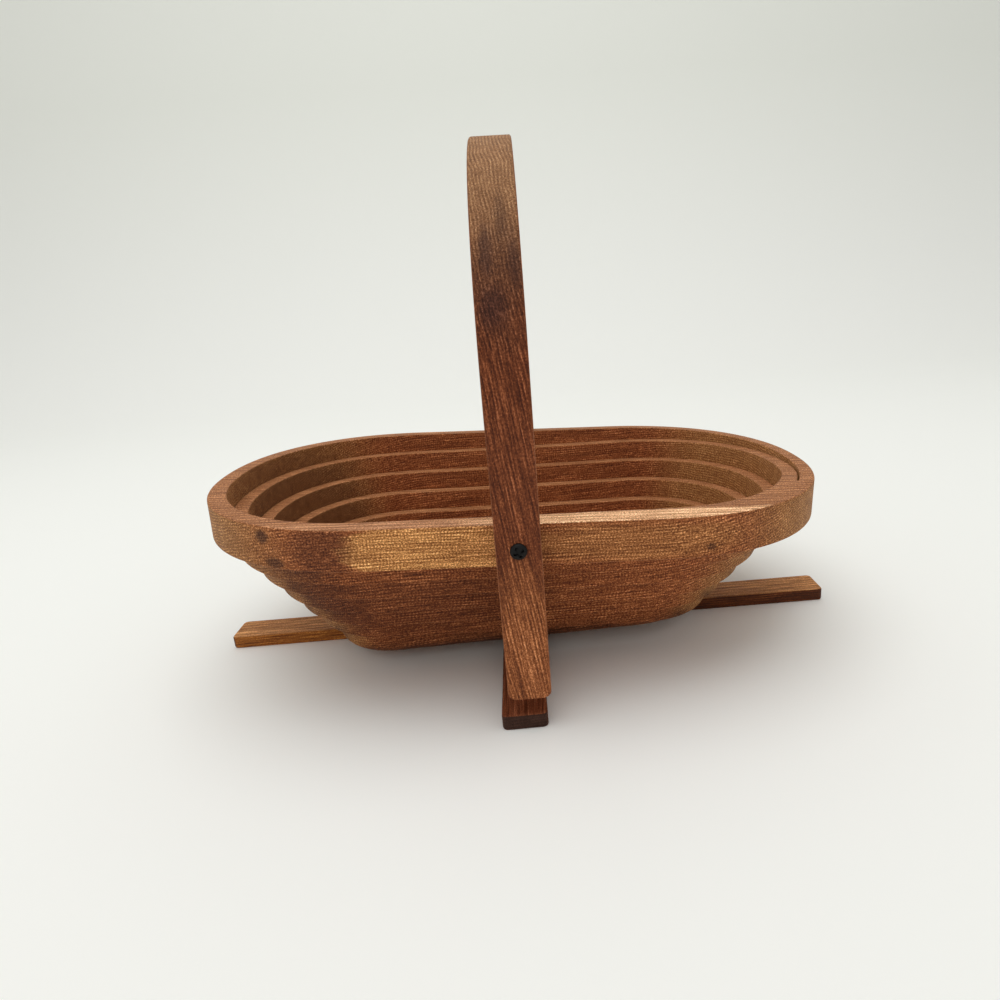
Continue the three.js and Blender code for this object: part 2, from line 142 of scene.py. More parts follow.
@dataclass
class BoardShape:
    """Sizes of the sawn board and its one kerf, in millimetres, as in the solids."""

    half_length: float = 150.0
    half_width: float = 95.0
    end_length: float = 90.0
    power: float = 2.17
    thickness: float = 18.0
    rim_height: float = 88.2
    tilt: float = 0.051
    kerf_start_angle: float = -0.541
    kerf_inset: float = 7.6
    kerf_width: float = 0.8
    kerf_lean: float = 0.06
    pitch: float = 8.1
    drop: float = 10.53
    turns: int = 6
    ramp_end: float = 0.427
    ramp_power: float = 1.6
    # The kerf steps in by one pitch a turn: a fifth along the back, the rest along the front
    back_step: float = 0.2
    back_start: float = 0.08
    back_end: float = 0.4
    front_start: float = 0.62
    plate_gap: float = 0.5
    plate_round: float = 4.8
    steps: int = 420
    table_steps: int = 6000
    lengths: np.ndarray = field(init=False, repr=False)
    angles: np.ndarray = field(init=False, repr=False)
    sides: np.ndarray = field(init=False, repr=False)
    perimeter: float = field(init=False, repr=False)

    def __post_init__(self) -> None:
        """Tabulates arc length along the outer outline from the start of the kerf."""
        straight = self.half_length - self.end_length
        lengths, angles, sides = [0.0], [self.kerf_start_angle], [1]
        before = self.raw_point(self.kerf_start_angle, 1, 0.0)
        for i in range(1, self.table_steps + 1):
            angle = self.kerf_start_angle + 2 * math.pi * i / self.table_steps
            side = 1 if math.cos(angle) >= 0 else -1
            point = self.raw_point(angle, side, 0.0)
            if side != sides[-1]:
                corner = round(2 * angle / math.pi) * (math.pi / 2)
                lengths += [lengths[-1], lengths[-1] + 2 * straight]
                angles += [corner, corner]
                sides += [sides[-1], side]
                lengths.append(lengths[-1])
            else:
                lengths.append(lengths[-1] + math.dist(before, point))
            angles.append(angle)
            sides.append(side)
            before = point
        self.perimeter = lengths[-1]
        self.lengths = np.array(lengths) / lengths[-1]
        self.angles = np.array(angles)
        self.sides = np.array(sides)

    def raw_point(self, angle: float, side: int, inset: float) -> Pair:
        """Finds a point of the outline by its angle.

        Args:
            angle: angle of the rounded end's own curve.
            side: 1 for the right end, -1 for the left end.
            inset: how far the point is moved inwards.

        Returns:
            The point in the board's plan.
        """
        c, s = math.cos(angle), math.sin(angle)
        p = 2 / self.power
        x = (self.end_length - inset) * math.copysign(abs(c) ** p, c)
        y = (self.half_width - inset) * math.copysign(abs(s) ** p, s)
        return x + side * (self.half_length - self.end_length), y

    def loop_point(self, q: float, inset: float) -> Pair:
        """Finds a point of the outline by its share of the loop.

        Args:
            q: share of the loop, from the start of the kerf.
            inset: how far the point is moved inwards.

        Returns:
            The point in the board's plan.
        """
        q = q - math.floor(q)
        i = int(np.searchsorted(self.lengths, q, side="right")) - 1
        i = min(max(i, 0), len(self.lengths) - 2)
        span = self.lengths[i + 1] - self.lengths[i]
        share = (q - self.lengths[i]) / span if span > 1e-12 else 0.0
        a = self.raw_point(self.angles[i], self.sides[i], inset)
        b = self.raw_point(self.angles[i + 1], self.sides[i + 1], inset)
        return a[0] + share * (b[0] - a[0]), a[1] + share * (b[1] - a[1])

    def kerf(self, turn: int, q: float, depth: float, half: float) -> float:
        """Returns the inset of one wall of the kerf.

        Args:
            turn: number of the kerf's turn, from 1.
            q: share of the loop.
            depth: depth below the board's top.
            half: -1 for the outer wall, +1 for the inner wall.

        Returns:
            The inset in millimetres.
        """
        back = smooth_step((q - self.back_start) / (self.back_end - self.back_start))
        front = smooth_step((q - self.front_start) / (1 - self.front_start))
        step = self.back_step * back + (1 - self.back_step) * front
        middle = self.kerf_inset + self.pitch * (turn - 1 + step)
        return middle + half * self.kerf_width / 2 + self.kerf_lean * (depth - self.thickness / 2)

    def run(self, turn: int, q: float) -> float:
        """Returns how far along its walls share q of a turn lies."""
        inset = self.kerf_inset + self.pitch * (turn - 0.5)
        return q * (self.perimeter - 2 * math.pi * inset)

    def ramp(self, q: float) -> float:
        """Returns the share of one turn's drop that is reached at q."""
        u = min(1.0, max(0.0, q / self.ramp_end))
        return 1 - (1 - u) ** self.ramp_power

    def tilted(self, u: float, v: float, w: float) -> Point:
        """Places a point of the rim or of a turn, which all hang a little out of level.

        Args:
            u: place along the board.
            v: place across the board.
            w: height above the rim's top, less than 0 by the turn's drop and the depth.

        Returns:
            The point at rest.
        """
        s = self.tilt
        c = math.sqrt(1 - s * s)
        return (u * c + w * s, v, self.rim_height - u * s + w * c)

    def level(self, u: float, v: float, w: float) -> Point:
        """Places a point that lies level with the bottom plate.

        Args:
            u: place along the board.
            v: place across the board.
            w: height above the rim's top, as for tilted.

        Returns:
            The point at rest.
        """
        full = self.drop * self.turns
        x, _, z = self.tilted(0, 0, -full)
        return (x + u, v, z + w + full)


def rounded_corner(corner: Pair, before: Pair, after: Pair, radius: float,
                   steps: int) -> list[Pair]:
    """Rounds one corner of a section.

    Args:
        corner: the sharp corner.
        before: the corner ahead of it in the section.
        after: the corner behind it in the section.
        radius: how far from the corner the round starts.
        steps: number of faces of the round.

    Returns:
        The points of the round, in the section's order.
    """
    c = np.array(corner, float)
    a = np.array(before, float) - c
    b = np.array(after, float) - c
    start = c + a / np.linalg.norm(a) * radius
    end = c + b / np.linalg.norm(b) * radius
    points = []
    for i in range(steps + 1):
        t = i / steps
        p = (1 - t) ** 2 * start + 2 * t * (1 - t) * c + t * t * end
        points.append((float(p[0]), float(p[1])))
    return points


def rounded_section(corners: Sequence[Pair], radii: Sequence[float],
                    steps: int = 3) -> list[Pair]:
    """Rounds each corner of a closed section by its own radius.

    Args:
        corners: the sharp corners, in order.
        radii: the radius of each corner.
        steps: number of faces of each round.

    Returns:
        The points of the section.
    """
    count = len(corners)
    out: list[Pair] = []
    for i, corner in enumerate(corners):
        out += rounded_corner(corner, corners[i - 1], corners[(i + 1) % count], radii[i], steps)
    return out


@dataclass
class Sweep:
    """Rows of points, each with its place in the uncut board and its run along the wall."""

    rows: list[list[Point]] = field(default_factory=list)
    places: list[list[Point]] = field(default_factory=list)
    runs: list[list[float]] = field(default_factory=list)

    def add(self, points: list[Point], places: list[Point], runs: list[float]) -> None:
        """Adds one row.

        Args:
            points: the row's points at rest, in millimetres.
            places: place of each point in the uncut board.
            runs: run of each point along the sawn wall.
        """
        self.rows.append(points)
        self.places.append(places)
        self.runs.append(runs)

    def mesh(self, name: str) -> bpy.types.Object:
        """Skins the rows into one closed mesh object.

        Args:
            name: name of the object.

        Returns:
            The object, in metres, at the origin.
        """
        count = len(self.rows[0])
        points = [tuple(c * MM for c in p) for row in self.rows for p in row]
        places = [tuple(c * MM for c in p) for row in self.places for p in row]
        runs = [run * MM for row in self.runs for run in row]
        last = (len(self.rows) - 1) * count
        faces: list[tuple[int, ...]] = []
        for here in range(0, last, count):
            for j in range(count):
                k = (j + 1) % count
                faces.append((here + j, here + count + j, here + count + k, here + k))
        faces.append(tuple(range(count)))
        faces.append(tuple(last + j for j in reversed(range(count))))
        return make_object(name, points, faces, places, runs)


def shade(mesh: bpy.types.Mesh) -> None:
    """Shades a mesh smooth, apart from its sharp edges."""
    mesh.shade_smooth()
    mesh.set_sharp_from_angle(angle=math.radians(SHARP_ANGLE))


def make_object(name: str, points: Sequence[Point], faces: Sequence[Sequence[int]],
                places: Sequence[Point], runs: Sequence[float]) -> bpy.types.Object:
    """Makes a mesh object with outward faces and smooth shading.

    Args:
        name: name of the object.
        points: vertices in metres.
        faces: vertex numbers of each face.
        places: place of each vertex in the uncut board, kept as the attribute board_place.
        runs: run of each vertex along the sawn wall, kept as the attribute saw_run.

    Returns:
        The linked object.
    """
    mesh = bpy.data.meshes.new(name)
    mesh.from_pydata(list(points), [], [list(f) for f in faces])
    bm = bmesh.new()
    bm.from_mesh(mesh)
    bmesh.ops.recalc_face_normals(bm, faces=bm.faces)
    if bm.calc_volume(signed=True) < 0:
        bmesh.ops.reverse_faces(bm, faces=bm.faces)
    bm.to_mesh(mesh)
    bm.free()
    shade(mesh)
    attribute = mesh.attributes.new("board_place", "FLOAT_VECTOR", "POINT")
    attribute.data.foreach_set("vector", np.array(places, np.float32).ravel())
    attribute = mesh.attributes.new("saw_run", "FLOAT", "POINT")
    attribute.data.foreach_set("value", np.array(runs, np.float32))
    return new_object(name, mesh)


def new_object(name: str, data: bpy.types.ID) -> bpy.types.Object:
    """Makes an object of the scene.

    Args:
        name: name of the object.
        data: its mesh, curve, lamp or camera.

    Returns:
        The linked object.
    """
    obj = bpy.data.objects.new(name, data)
    bpy.context.scene.collection.objects.link(obj)
    return obj


def new_material(name: str) -> bpy.types.Material:
    """Starts a node material.

    Args:
        name: name of the material.

    Returns:
        The material, with an empty node tree.
    """
    material = bpy.data.materials.new(name)
    material.use_nodes = True
    material.node_tree.nodes.clear()
    return material


@dataclass(frozen=True)
class StainOrPaintedLight:
    """A patch of other colour: the wood's own, as sapwood, a knot or a dark cloud, and also
    painted light and shade.
    """

    place_mm: Point
    radii_mm: Point
    colour: str
    strength: float = 0.8
    face: Face = Face.ALL
    soft: float = 0.25


@dataclass(frozen=True)
class Hatch:
    """How much each fine pattern lightens and darkens the wood, in doublings of light."""

    rings: float = 0.62
    fibres: float = 0.85
    dots: float = 1.25
    saw: float = 0.45
    clouds: float = 0.24


@dataclass(frozen=True)
class Mottle:
    """Soft patches of the wood, so many mm across and drawn out along the grain."""

    size_mm: float
    # What a step along the grain counts, where one across it counts 1
    along: float
    detail: float
    roughness: float = 0.5
    low: float = 0.3
    high: float = 0.7
    least: float = -1.0

    def noise(self, tree: bpy.types.NodeTree, place: bpy.types.Node) -> bpy.types.Node:
        """Adds the patches as plain noise.

        Args:
            tree: the material's node tree.
            place: place in mm, with x along the grain.

        Returns:
            The noise, which averages a half.
        """
        drawn = add_node(tree, "ShaderNodeMapping", {
            "Vector": place, "Scale": (self.along, 1.0, 1.0)})
        return add_node(tree, "ShaderNodeTexNoise", {
            "Vector": drawn, "Scale": 1 / self.size_mm, "Detail": self.detail,
            "Roughness": self.roughness})

    def spread(self, tree: bpy.types.NodeTree, noise: bpy.types.Node) -> bpy.types.Node:
        """Gives the patches their full contrast.

        Args:
            tree: the material's node tree.
            noise: the patches as plain noise.

        Returns:
            The patches, from their least value to 1.
        """
        return add_node(tree, "ShaderNodeMapRange", {
            "Value": noise, "From Min": self.low, "From Max": self.high, "To Min": self.least})


@dataclass(frozen=True)
class OiledHardwood:
    """Open pored brown hardwood, sawn and oiled.

    Its growth rings are narrow sheets that slant through the board: they draw streaks along
    the sides, thin lines along the tops and a fanning hatch across the ends. The saw's teeth
    leave upright marks on the sawn walls, so that the long walls look woven. The oil deepens
    its colour and leaves it matte.
    """

    name: str
    side: str
    end: str
    top: str
    # Patches of the wood's own colour, and of painted shade and sheen
    stains_and_painted_light: tuple[StainOrPaintedLight, ...] = ()
    hatch: Hatch = Hatch()
    grain: Axis = Axis.X
    flat: Axis = Axis.Z
    sawn: bool = True
    offset_mm: Point = (0.0, 0.0, 0.0)
    # A ring a year, 1.4 mm thick: three image points in the photograph's view
    ring_mm: float = 1.4
    # The rings' sheets slant and cup across the board, and rise along it ever more steeply
    ring_slant: float = 0.2
    ring_cup: float = 0.0009
    cup_end_mm: float = 130.0
    ring_rise: float = 0.05
    ring_sweep: float = 5.8e-6
    # The sheets wander up and down by a few mm, and their edges are uneven by the fibres
    bends: Mottle = Mottle(16.0, 0.2, 1.0)
    bend_mm: float = 4.0
    uneven_mm: float = 0.16
    # On the flat faces they come out as lines along the grain, 3 mm apart
    flat_lean: float = 0.45
    flat_bend_mm: float = 3.0
    # The saw's teeth mark the wall every 1.25 mm; clouds and pores break the marks up
    saw_mm: float = 1.25
    saw_clouds: float = 0.8
    saw_dots: float = 0.13
    # Rings and saw marks fade in and out
    fades: Mottle = Mottle(3.0, 0.2, 1.0, low=0.35, high=0.6, least=0.25)
    # Fibres and pores are finer than the view can show and are drawn half a millimetre wide
    fibres: Mottle = Mottle(0.65, 0.04, 2.0, roughness=0.6)
    pores: Mottle = Mottle(0.44, 0.6, 1.0, roughness=0.7, low=0.34, high=0.66)
    clouds: Mottle = Mottle(5.0, 0.12, 3.0)
    # The edges of the patches, of the wood's own colour and of painted light and shade, are
    # ragged
    stain_and_painted_light_edges: Mottle = Mottle(3.0, 0.25, 3.0)
    ragged: float = 0.5
    # How squarely a face has to look up, or along the grain, to count as a top or an end
    top_limits: Pair = (0.55, 0.85)
    end_limits: Pair = (0.2, 0.75)
    # Light wood turns golden and dark wood red: blue follows the patterns more than red does
    channel_gains: Point = (0.8, 1.0, 1.2)
    roughness: float = 0.62
    roughness_spread: float = 0.07
    # Hardened oil bends light as most varnishes do; the open pores keep its sheen low
    ior: float = 1.45
    sheen: float = 0.2
    bump_strength: float = 0.35
    bump_mm: float = 0.3

    def build(self) -> bpy.types.Material:
        """Builds the node material.

        Returns:
            The material.
        """
        material = new_material(self.name)
        tree = material.node_tree
        place, along, tops, ends = self.directions(tree)
        fine, fibre = self.pattern(tree, along, tops, ends)
        powers = [add_node(tree, "ShaderNodeMath", {0: fine, 1: gain}, operation="MULTIPLY")
                  for gain in self.channel_gains]
        tones = [add_node(tree, "ShaderNodeMath", {0: 2.0, 1: power}, operation="POWER")
                 for power in powers]
        tint = add_node(tree, "ShaderNodeCombineColor", dict(enumerate(tones)))
        colour = add_node(tree, "ShaderNodeMix", {
            0: 1.0, 6: self.colours(tree, place, tops, ends), 7: tint},
            data_type="RGBA", blend_type="MULTIPLY")
        rough = add_node(tree, "ShaderNodeMapRange", {
            "Value": fibre, "From Min": self.fibres.low, "From Max": self.fibres.high,
            "To Min": self.roughness - self.roughness_spread,
            "To Max": self.roughness + self.roughness_spread})
        bump = add_node(tree, "ShaderNodeBump", {
            "Strength": self.bump_strength, "Distance": self.bump_mm * MM, "Height": fine})
        shader = add_node(tree, "ShaderNodeBsdfPrincipled", {
            "Base Color": colour, "Roughness": rough, "Normal": bump, "IOR": self.ior,
            "Specular IOR Level": self.sheen})
        add_node(tree, "ShaderNodeOutputMaterial", {"Surface": shader})
        return material

    def directions(self, tree: bpy.types.NodeTree) -> tuple[bpy.types.Node, ...]:
        """Adds the nodes that say where a point lies and which way its face looks.

        Args:
            tree: the material's node tree.

        Returns:
            Place in mm, place along the grain in mm, share of a top, share of an end.
        """
        looks = add_node(tree, "ShaderNodeTexCoord")
        source: Any = looks.outputs["Object"]
        if self.sawn:
            source = add_node(tree, "ShaderNodeAttribute",
                              attribute_name="board_place").outputs["Vector"]
        place = add_node(tree, "ShaderNodeVectorMath", {0: source, "Scale": 1 / MM},
                         operation="SCALE")
        turn = -math.pi / 2 if self.grain is Axis.Y else 0.0
        along = add_node(tree, "ShaderNodeMapping", {
            "Vector": place, "Location": self.offset_mm, "Rotation": (0.0, 0.0, turn)})
        facing = add_node(tree, "ShaderNodeSeparateXYZ", {0: looks.outputs["Normal"]})
        upward, endward = (add_node(tree, "ShaderNodeMath", {0: facing.outputs[axis.value]},
                                    operation="ABSOLUTE") for axis in (self.flat, self.grain))
        top = add_node(tree, "ShaderNodeMapRange", {
            "Value": upward, "From Min": self.top_limits[0], "From Max": self.top_limits[1]})
        end = add_node(tree, "ShaderNodeMapRange", {
            "Value": endward, "From Min": self.end_limits[0], "From Max": self.end_limits[1]},
            interpolation_type="SMOOTHSTEP")
        return place, along, top, end

    def sheets(self, tree: bpy.types.NodeTree, along: bpy.types.Node,
               tops: bpy.types.Node) -> tuple[bpy.types.Node, bpy.types.Node]:
        """Adds the place of a point against the growth rings' sheets.

        Args:
            tree: the material's node tree.
            along: place along the grain in mm.
            tops: share of a top face.

        Returns:
            Height above the sheets in mm, and the place along the grain with that height.
        """
        split = add_node(tree, "ShaderNodeSeparateXYZ", {0: along})
        x = add_node(tree, "ShaderNodeMath", {0: split.outputs[0], 1: self.offset_mm[0]},
                     operation="SUBTRACT")
        y, z = split.outputs[1], split.outputs[2]
        bend = self.bends.noise(tree, along)
        # Height of the sheet: (cup y + slant) y, with less cup along the board ...
        cup = add_node(tree, "ShaderNodeMath", {
            0: x, 1: -self.ring_cup / self.cup_end_mm, 2: self.ring_cup},
            operation="MULTIPLY_ADD")
        slant = add_node(tree, "ShaderNodeMath", {0: cup, 1: y, 2: self.ring_slant},
                         operation="MULTIPLY_ADD")
        across = add_node(tree, "ShaderNodeMath", {0: slant, 1: y}, operation="MULTIPLY")
        # ... plus (sweep x squared + rise) x, less the bends
        square = add_node(tree, "ShaderNodeMath", {0: x, 1: x}, operation="MULTIPLY")
        rise = add_node(tree, "ShaderNodeMath", {
            0: square, 1: self.ring_sweep, 2: self.ring_rise}, operation="MULTIPLY_ADD")
        steady = add_node(tree, "ShaderNodeMath", {0: rise, 1: x, 2: across},
                          operation="MULTIPLY_ADD")
        wall = add_node(tree, "ShaderNodeMath", {0: bend, 1: -self.bend_mm, 2: steady},
                        operation="MULTIPLY_ADD")
        lean = add_node(tree, "ShaderNodeMath", {0: y, 1: self.flat_lean}, operation="MULTIPLY")
        flat = add_node(tree, "ShaderNodeMath", {0: bend, 1: self.flat_bend_mm, 2: lean},
                        operation="MULTIPLY_ADD")
        sheet = add_node(tree, "ShaderNodeMix", {0: tops, 2: wall, 3: flat})
        height = add_node(tree, "ShaderNodeMath", {0: z, 1: sheet}, operation="SUBTRACT")
        within = add_node(tree, "ShaderNodeCombineXYZ", {0: split.outputs[0], 1: y, 2: height})
        return height, within

    def pattern(self, tree: bpy.types.NodeTree, along: bpy.types.Node, tops: bpy.types.Node,
                ends: bpy.types.Node) -> tuple[bpy.types.Node, bpy.types.Node]:
        """Adds rings, fibres, pores, clouds and saw marks.

        Args:
            tree: the material's node tree.
            along: place along the grain in mm.
            tops: share of a top face.
            ends: share of an end face.

        Returns:
            The sum of the patterns in doublings of light, and the fibres alone.
        """
        height, within = self.sheets(tree, along, tops)
        fibre = self.fibres.noise(tree, within)
        streak = self.fibres.spread(tree, fibre)
        fade, dots, cloud = (mottle.spread(tree, mottle.noise(tree, along))
                             for mottle in (self.fades, self.pores, self.clouds))
        uneven = add_node(tree, "ShaderNodeMath", {0: streak, 1: self.uneven_mm, 2: height},
                          operation="MULTIPLY_ADD")
        phase = add_node(tree, "ShaderNodeMath", {0: uneven, 1: 2 * math.pi / self.ring_mm},
                         operation="MULTIPLY")
        wave = add_node(tree, "ShaderNodeMath", {0: phase}, operation="SINE")
        rings = add_node(tree, "ShaderNodeMath", {0: wave, 1: fade}, operation="MULTIPLY")
        # Streaks are gone where the face cuts across the grain
        with_grain = add_node(tree, "ShaderNodeMath", {0: 1.0, 1: ends}, operation="SUBTRACT")
        streaks = add_node(tree, "ShaderNodeMath", {0: streak, 1: with_grain},
                           operation="MULTIPLY")
        total = add_node(tree, "ShaderNodeMath", {0: rings, 1: self.hatch.rings},
                         operation="MULTIPLY")
        for part, share in ((streaks, self.hatch.fibres), (dots, self.hatch.dots),
                            (cloud, self.hatch.clouds)):
            total = add_node(tree, "ShaderNodeMath", {0: part, 1: share, 2: total},
                             operation="MULTIPLY_ADD")
        if self.sawn:
            marks, depth = self.saw_marks(tree, tops, cloud, dots)
            marks = add_node(tree, "ShaderNodeMath", {0: marks, 1: fade}, operation="MULTIPLY")
            total = add_node(tree, "ShaderNodeMath", {0: marks, 1: depth, 2: total},
                             operation="MULTIPLY_ADD")
        return total, fibre

    def saw_marks(self, tree: bpy.types.NodeTree, tops: bpy.types.Node, cloud: bpy.types.Node,
                  dots: bpy.types.Node) -> tuple[bpy.types.Node, bpy.types.Node]:
        """Adds the saw's upright lines along the walls.

        Args:
            tree: the material's node tree.
            tops: share of a top face, which has no saw marks.
            cloud: the clouds, which bend the lines.
            dots: the pores, which roughen them.

        Returns:
            The lines, from -1 to 1, and how much they show.
        """
        run = add_node(tree, "ShaderNodeAttribute", attribute_name="saw_run")
        count = add_node(tree, "ShaderNodeMath", {
            0: run.outputs["Fac"], 1: 1 / MM / self.saw_mm}, operation="MULTIPLY")
        for part, share in ((cloud, self.saw_clouds), (dots, self.saw_dots)):
            count = add_node(tree, "ShaderNodeMath", {0: part, 1: share, 2: count},
                             operation="MULTIPLY_ADD")
        phase = add_node(tree, "ShaderNodeMath", {0: count, 1: 2 * math.pi},
                         operation="MULTIPLY")
        lines = add_node(tree, "ShaderNodeMath", {0: phase}, operation="SINE")
        flat = add_node(tree, "ShaderNodeMath", {0: self.hatch.saw, 1: tops},
                        operation="MULTIPLY")
        depth = add_node(tree, "ShaderNodeMath", {0: self.hatch.saw, 1: flat},
                         operation="SUBTRACT")
        return lines, depth

    def colours(self, tree: bpy.types.NodeTree, place: bpy.types.Node, tops: bpy.types.Node,
                ends: bpy.types.Node) -> bpy.types.Node:
        """Adds the even colours of sides, ends and tops, and over them the patches: the wood's
        own, and painted light and shade.

        Args:
            tree: the material's node tree.
            place: place in mm.
            tops: share of a top face.
            ends: share of an end face.

        Returns:
            The node with the colour.
        """
        colour = add_node(tree, "ShaderNodeMix", {
            0: ends, 6: linear(self.side), 7: linear(self.end)}, data_type="RGBA")
        colour = add_node(tree, "ShaderNodeMix", {0: tops, 6: colour, 7: linear(self.top)},
                          data_type="RGBA")
        walls = add_node(tree, "ShaderNodeMath", {0: 1.0, 1: tops}, operation="SUBTRACT")
        ragged = self.stain_and_painted_light_edges.noise(tree, place)
        # The ragged noise averages a half and so moves the edge out from 1 by that much
        limit = 1 + self.ragged / 2
        # Some patches are the wood's own colour; others are painted shade and a painted sheen
        for stain_or_painted_light in self.stains_and_painted_light:
            size = add_node(tree, "ShaderNodeMapping", {
                "Vector": place, "Scale": tuple(1 / r for r in stain_or_painted_light.radii_mm),
                "Location": tuple(-c / r for c, r in zip(stain_or_painted_light.place_mm, stain_or_painted_light.radii_mm))})
            away = add_node(tree, "ShaderNodeVectorMath", {0: size}, operation="LENGTH")
            edge = add_node(tree, "ShaderNodeMath", {
                0: ragged, 1: self.ragged, 2: away.outputs["Value"]}, operation="MULTIPLY_ADD")
            share = add_node(tree, "ShaderNodeMapRange", {
                "Value": edge, "From Min": limit - stain_or_painted_light.soft, "From Max": limit + stain_or_painted_light.soft,
                "To Min": stain_or_painted_light.strength, "To Max": 0.0}, interpolation_type="SMOOTHSTEP")
            if stain_or_painted_light.face is not Face.ALL:
                share = add_node(tree, "ShaderNodeMath", {
                    0: share, 1: tops if stain_or_painted_light.face is Face.TOP else walls},
                    operation="MULTIPLY")
            colour = add_node(tree, "ShaderNodeMix", {
                0: share, 6: colour, 7: linear(stain_or_painted_light.colour)}, data_type="RGBA")
        return colour


@dataclass(frozen=True)
class BlackenedSteel:
    """Black oxide screw steel: nearly black, with a soft sheen on its rounded edges."""

    name: str = "blackened_screw_steel"
    colour: str = "#0b0a09"
    worn: str = "#171514"
    # The oxide covers the bare metal in part, so it shines less than steel does
    metallic: float = 0.4
    sheen: float = 0.25
    roughness: Pair = (0.32, 0.57)
    # The oxide's grit is too fine to see and is drawn 0.4 mm wide
    grit_mm: float = 0.4

    def build(self) -> bpy.types.Material:
        """Builds the node material.

        Returns:
            The material.
        """
        material = new_material(self.name)
        tree = material.node_tree
        place = add_node(tree, "ShaderNodeTexCoord").outputs["Object"]
        grit = add_node(tree, "ShaderNodeTexNoise", {
            "Vector": place, "Scale": 1 / MM / self.grit_mm, "Detail": 2.0})
        rough = add_node(tree, "ShaderNodeMapRange", {
            "Value": grit, "To Min": self.roughness[0], "To Max": self.roughness[1]})
        tint = add_node(tree, "ShaderNodeMix", {
            0: grit, 6: linear(self.colour), 7: linear(self.worn)}, data_type="RGBA")
        shader = add_node(tree, "ShaderNodeBsdfPrincipled", {
            "Base Color": tint, "Roughness": rough, "Metallic": self.metallic,
            "Specular IOR Level": self.sheen})
        add_node(tree, "ShaderNodeOutputMaterial", {"Surface": shader})
        return material


@dataclass(frozen=True)
class MattePaper:
    """Uncoated studio paper: it hardly shines, so that no lamp shows in the floor."""

    name: str = "matte_paper_sweep"
    floor_colour: str = "#fcfdfa"
    # The wall is the same white paper, painted greyer as shade
    painted_shade_wall_colour: str = "#eef0ea"
    # Height in metres over which the floor's white passes into the wall's painted shade
    change_height: float = 0.6
    roughness: float = 0.75
    sheen: float = 0.2

    def build(self) -> bpy.types.Material:
        """Builds the node material.

        Returns:
            The material.
        """
        material = new_material(self.name)
        tree = material.node_tree
        place = add_node(tree, "ShaderNodeTexCoord").outputs["Object"]
        height = add_node(tree, "ShaderNodeSeparateXYZ", {0: place}).outputs["Z"]
        share = add_node(tree, "ShaderNodeMapRange", {
            "Value": height, "From Max": self.change_height})
        colour = add_node(tree, "ShaderNodeMix", {
            0: share, 6: linear(self.floor_colour), 7: linear(self.painted_shade_wall_colour)},
            data_type="RGBA")
        shader = add_node(tree, "ShaderNodeBsdfPrincipled", {
            "Base Color": colour, "Roughness": self.roughness,
            "Specular IOR Level": self.sheen})
        add_node(tree, "ShaderNodeOutputMaterial", {"Surface": shader})
        return material


def dress(obj: bpy.types.Object, material: bpy.types.Material) -> None:
    """Gives an object one material."""
    obj.data.materials.clear()
    obj.data.materials.append(material)


def set_inputs(modifier: bpy.types.Modifier, values: dict[str, Any]) -> None:
    """Sets the named inputs of a geometry nodes modifier by their socket identifiers.

    Args:
        modifier: the modifier.
        values: values by input name.
    """
    for item in modifier.node_group.interface.items_tree:
        if item.item_type == "SOCKET" and item.in_out == "INPUT" and item.name in values:
            modifier[item.identifier] = values[item.name]


def grown_mesh(base: bpy.types.Object, tree: bpy.types.NodeTree, values: dict[str, Any],
               name: str) -> bpy.types.Object:
    """Turns what a tree grows on a base object into one plain mesh object.

    Args:
        base: object that carries the points or the path, removed afterwards.
        tree: geometry node tree.
        values: values of the tree's inputs, by name.
        name: name of the new object.

    Returns:
        The mesh object, with no modifier.
    """
    modifier = base.modifiers.new(tree.name, "NODES")
    modifier.node_group = tree
    set_inputs(modifier, values)
    bpy.context.view_layer.update()
    ready = base.evaluated_get(bpy.context.evaluated_depsgraph_get())
    mesh = bpy.data.meshes.new_from_object(ready)
    mesh.name = name
    shade(mesh)
    base.modifiers.remove(modifier)
    bpy.data.objects.remove(base)
    return new_object(name, mesh)


def new_tree(name: str, sizes: dict[str, float]) -> tuple[bpy.types.NodeTree, bpy.types.Node]:
    """Starts a geometry node tree with named inputs.

    Args:
        name: name of the tree.
        sizes: its lengths by name, in millimetres.

    Returns:
        The tree and its group input node.
    """
    tree = bpy.data.node_groups.new(name, "GeometryNodeTree")
    tree.interface.new_socket("Geometry", in_out="INPUT", socket_type="NodeSocketGeometry")
    for label, size in sizes.items():
        socket = tree.interface.new_socket(label, in_out="INPUT",
                                           socket_type="NodeSocketFloat")
        socket.default_value = size * MM
    tree.interface.new_socket("Material", in_out="INPUT", socket_type="NodeSocketMaterial")
    tree.interface.new_socket("Geometry", in_out="OUTPUT", socket_type="NodeSocketGeometry")
    return tree, tree.nodes.new("NodeGroupInput")


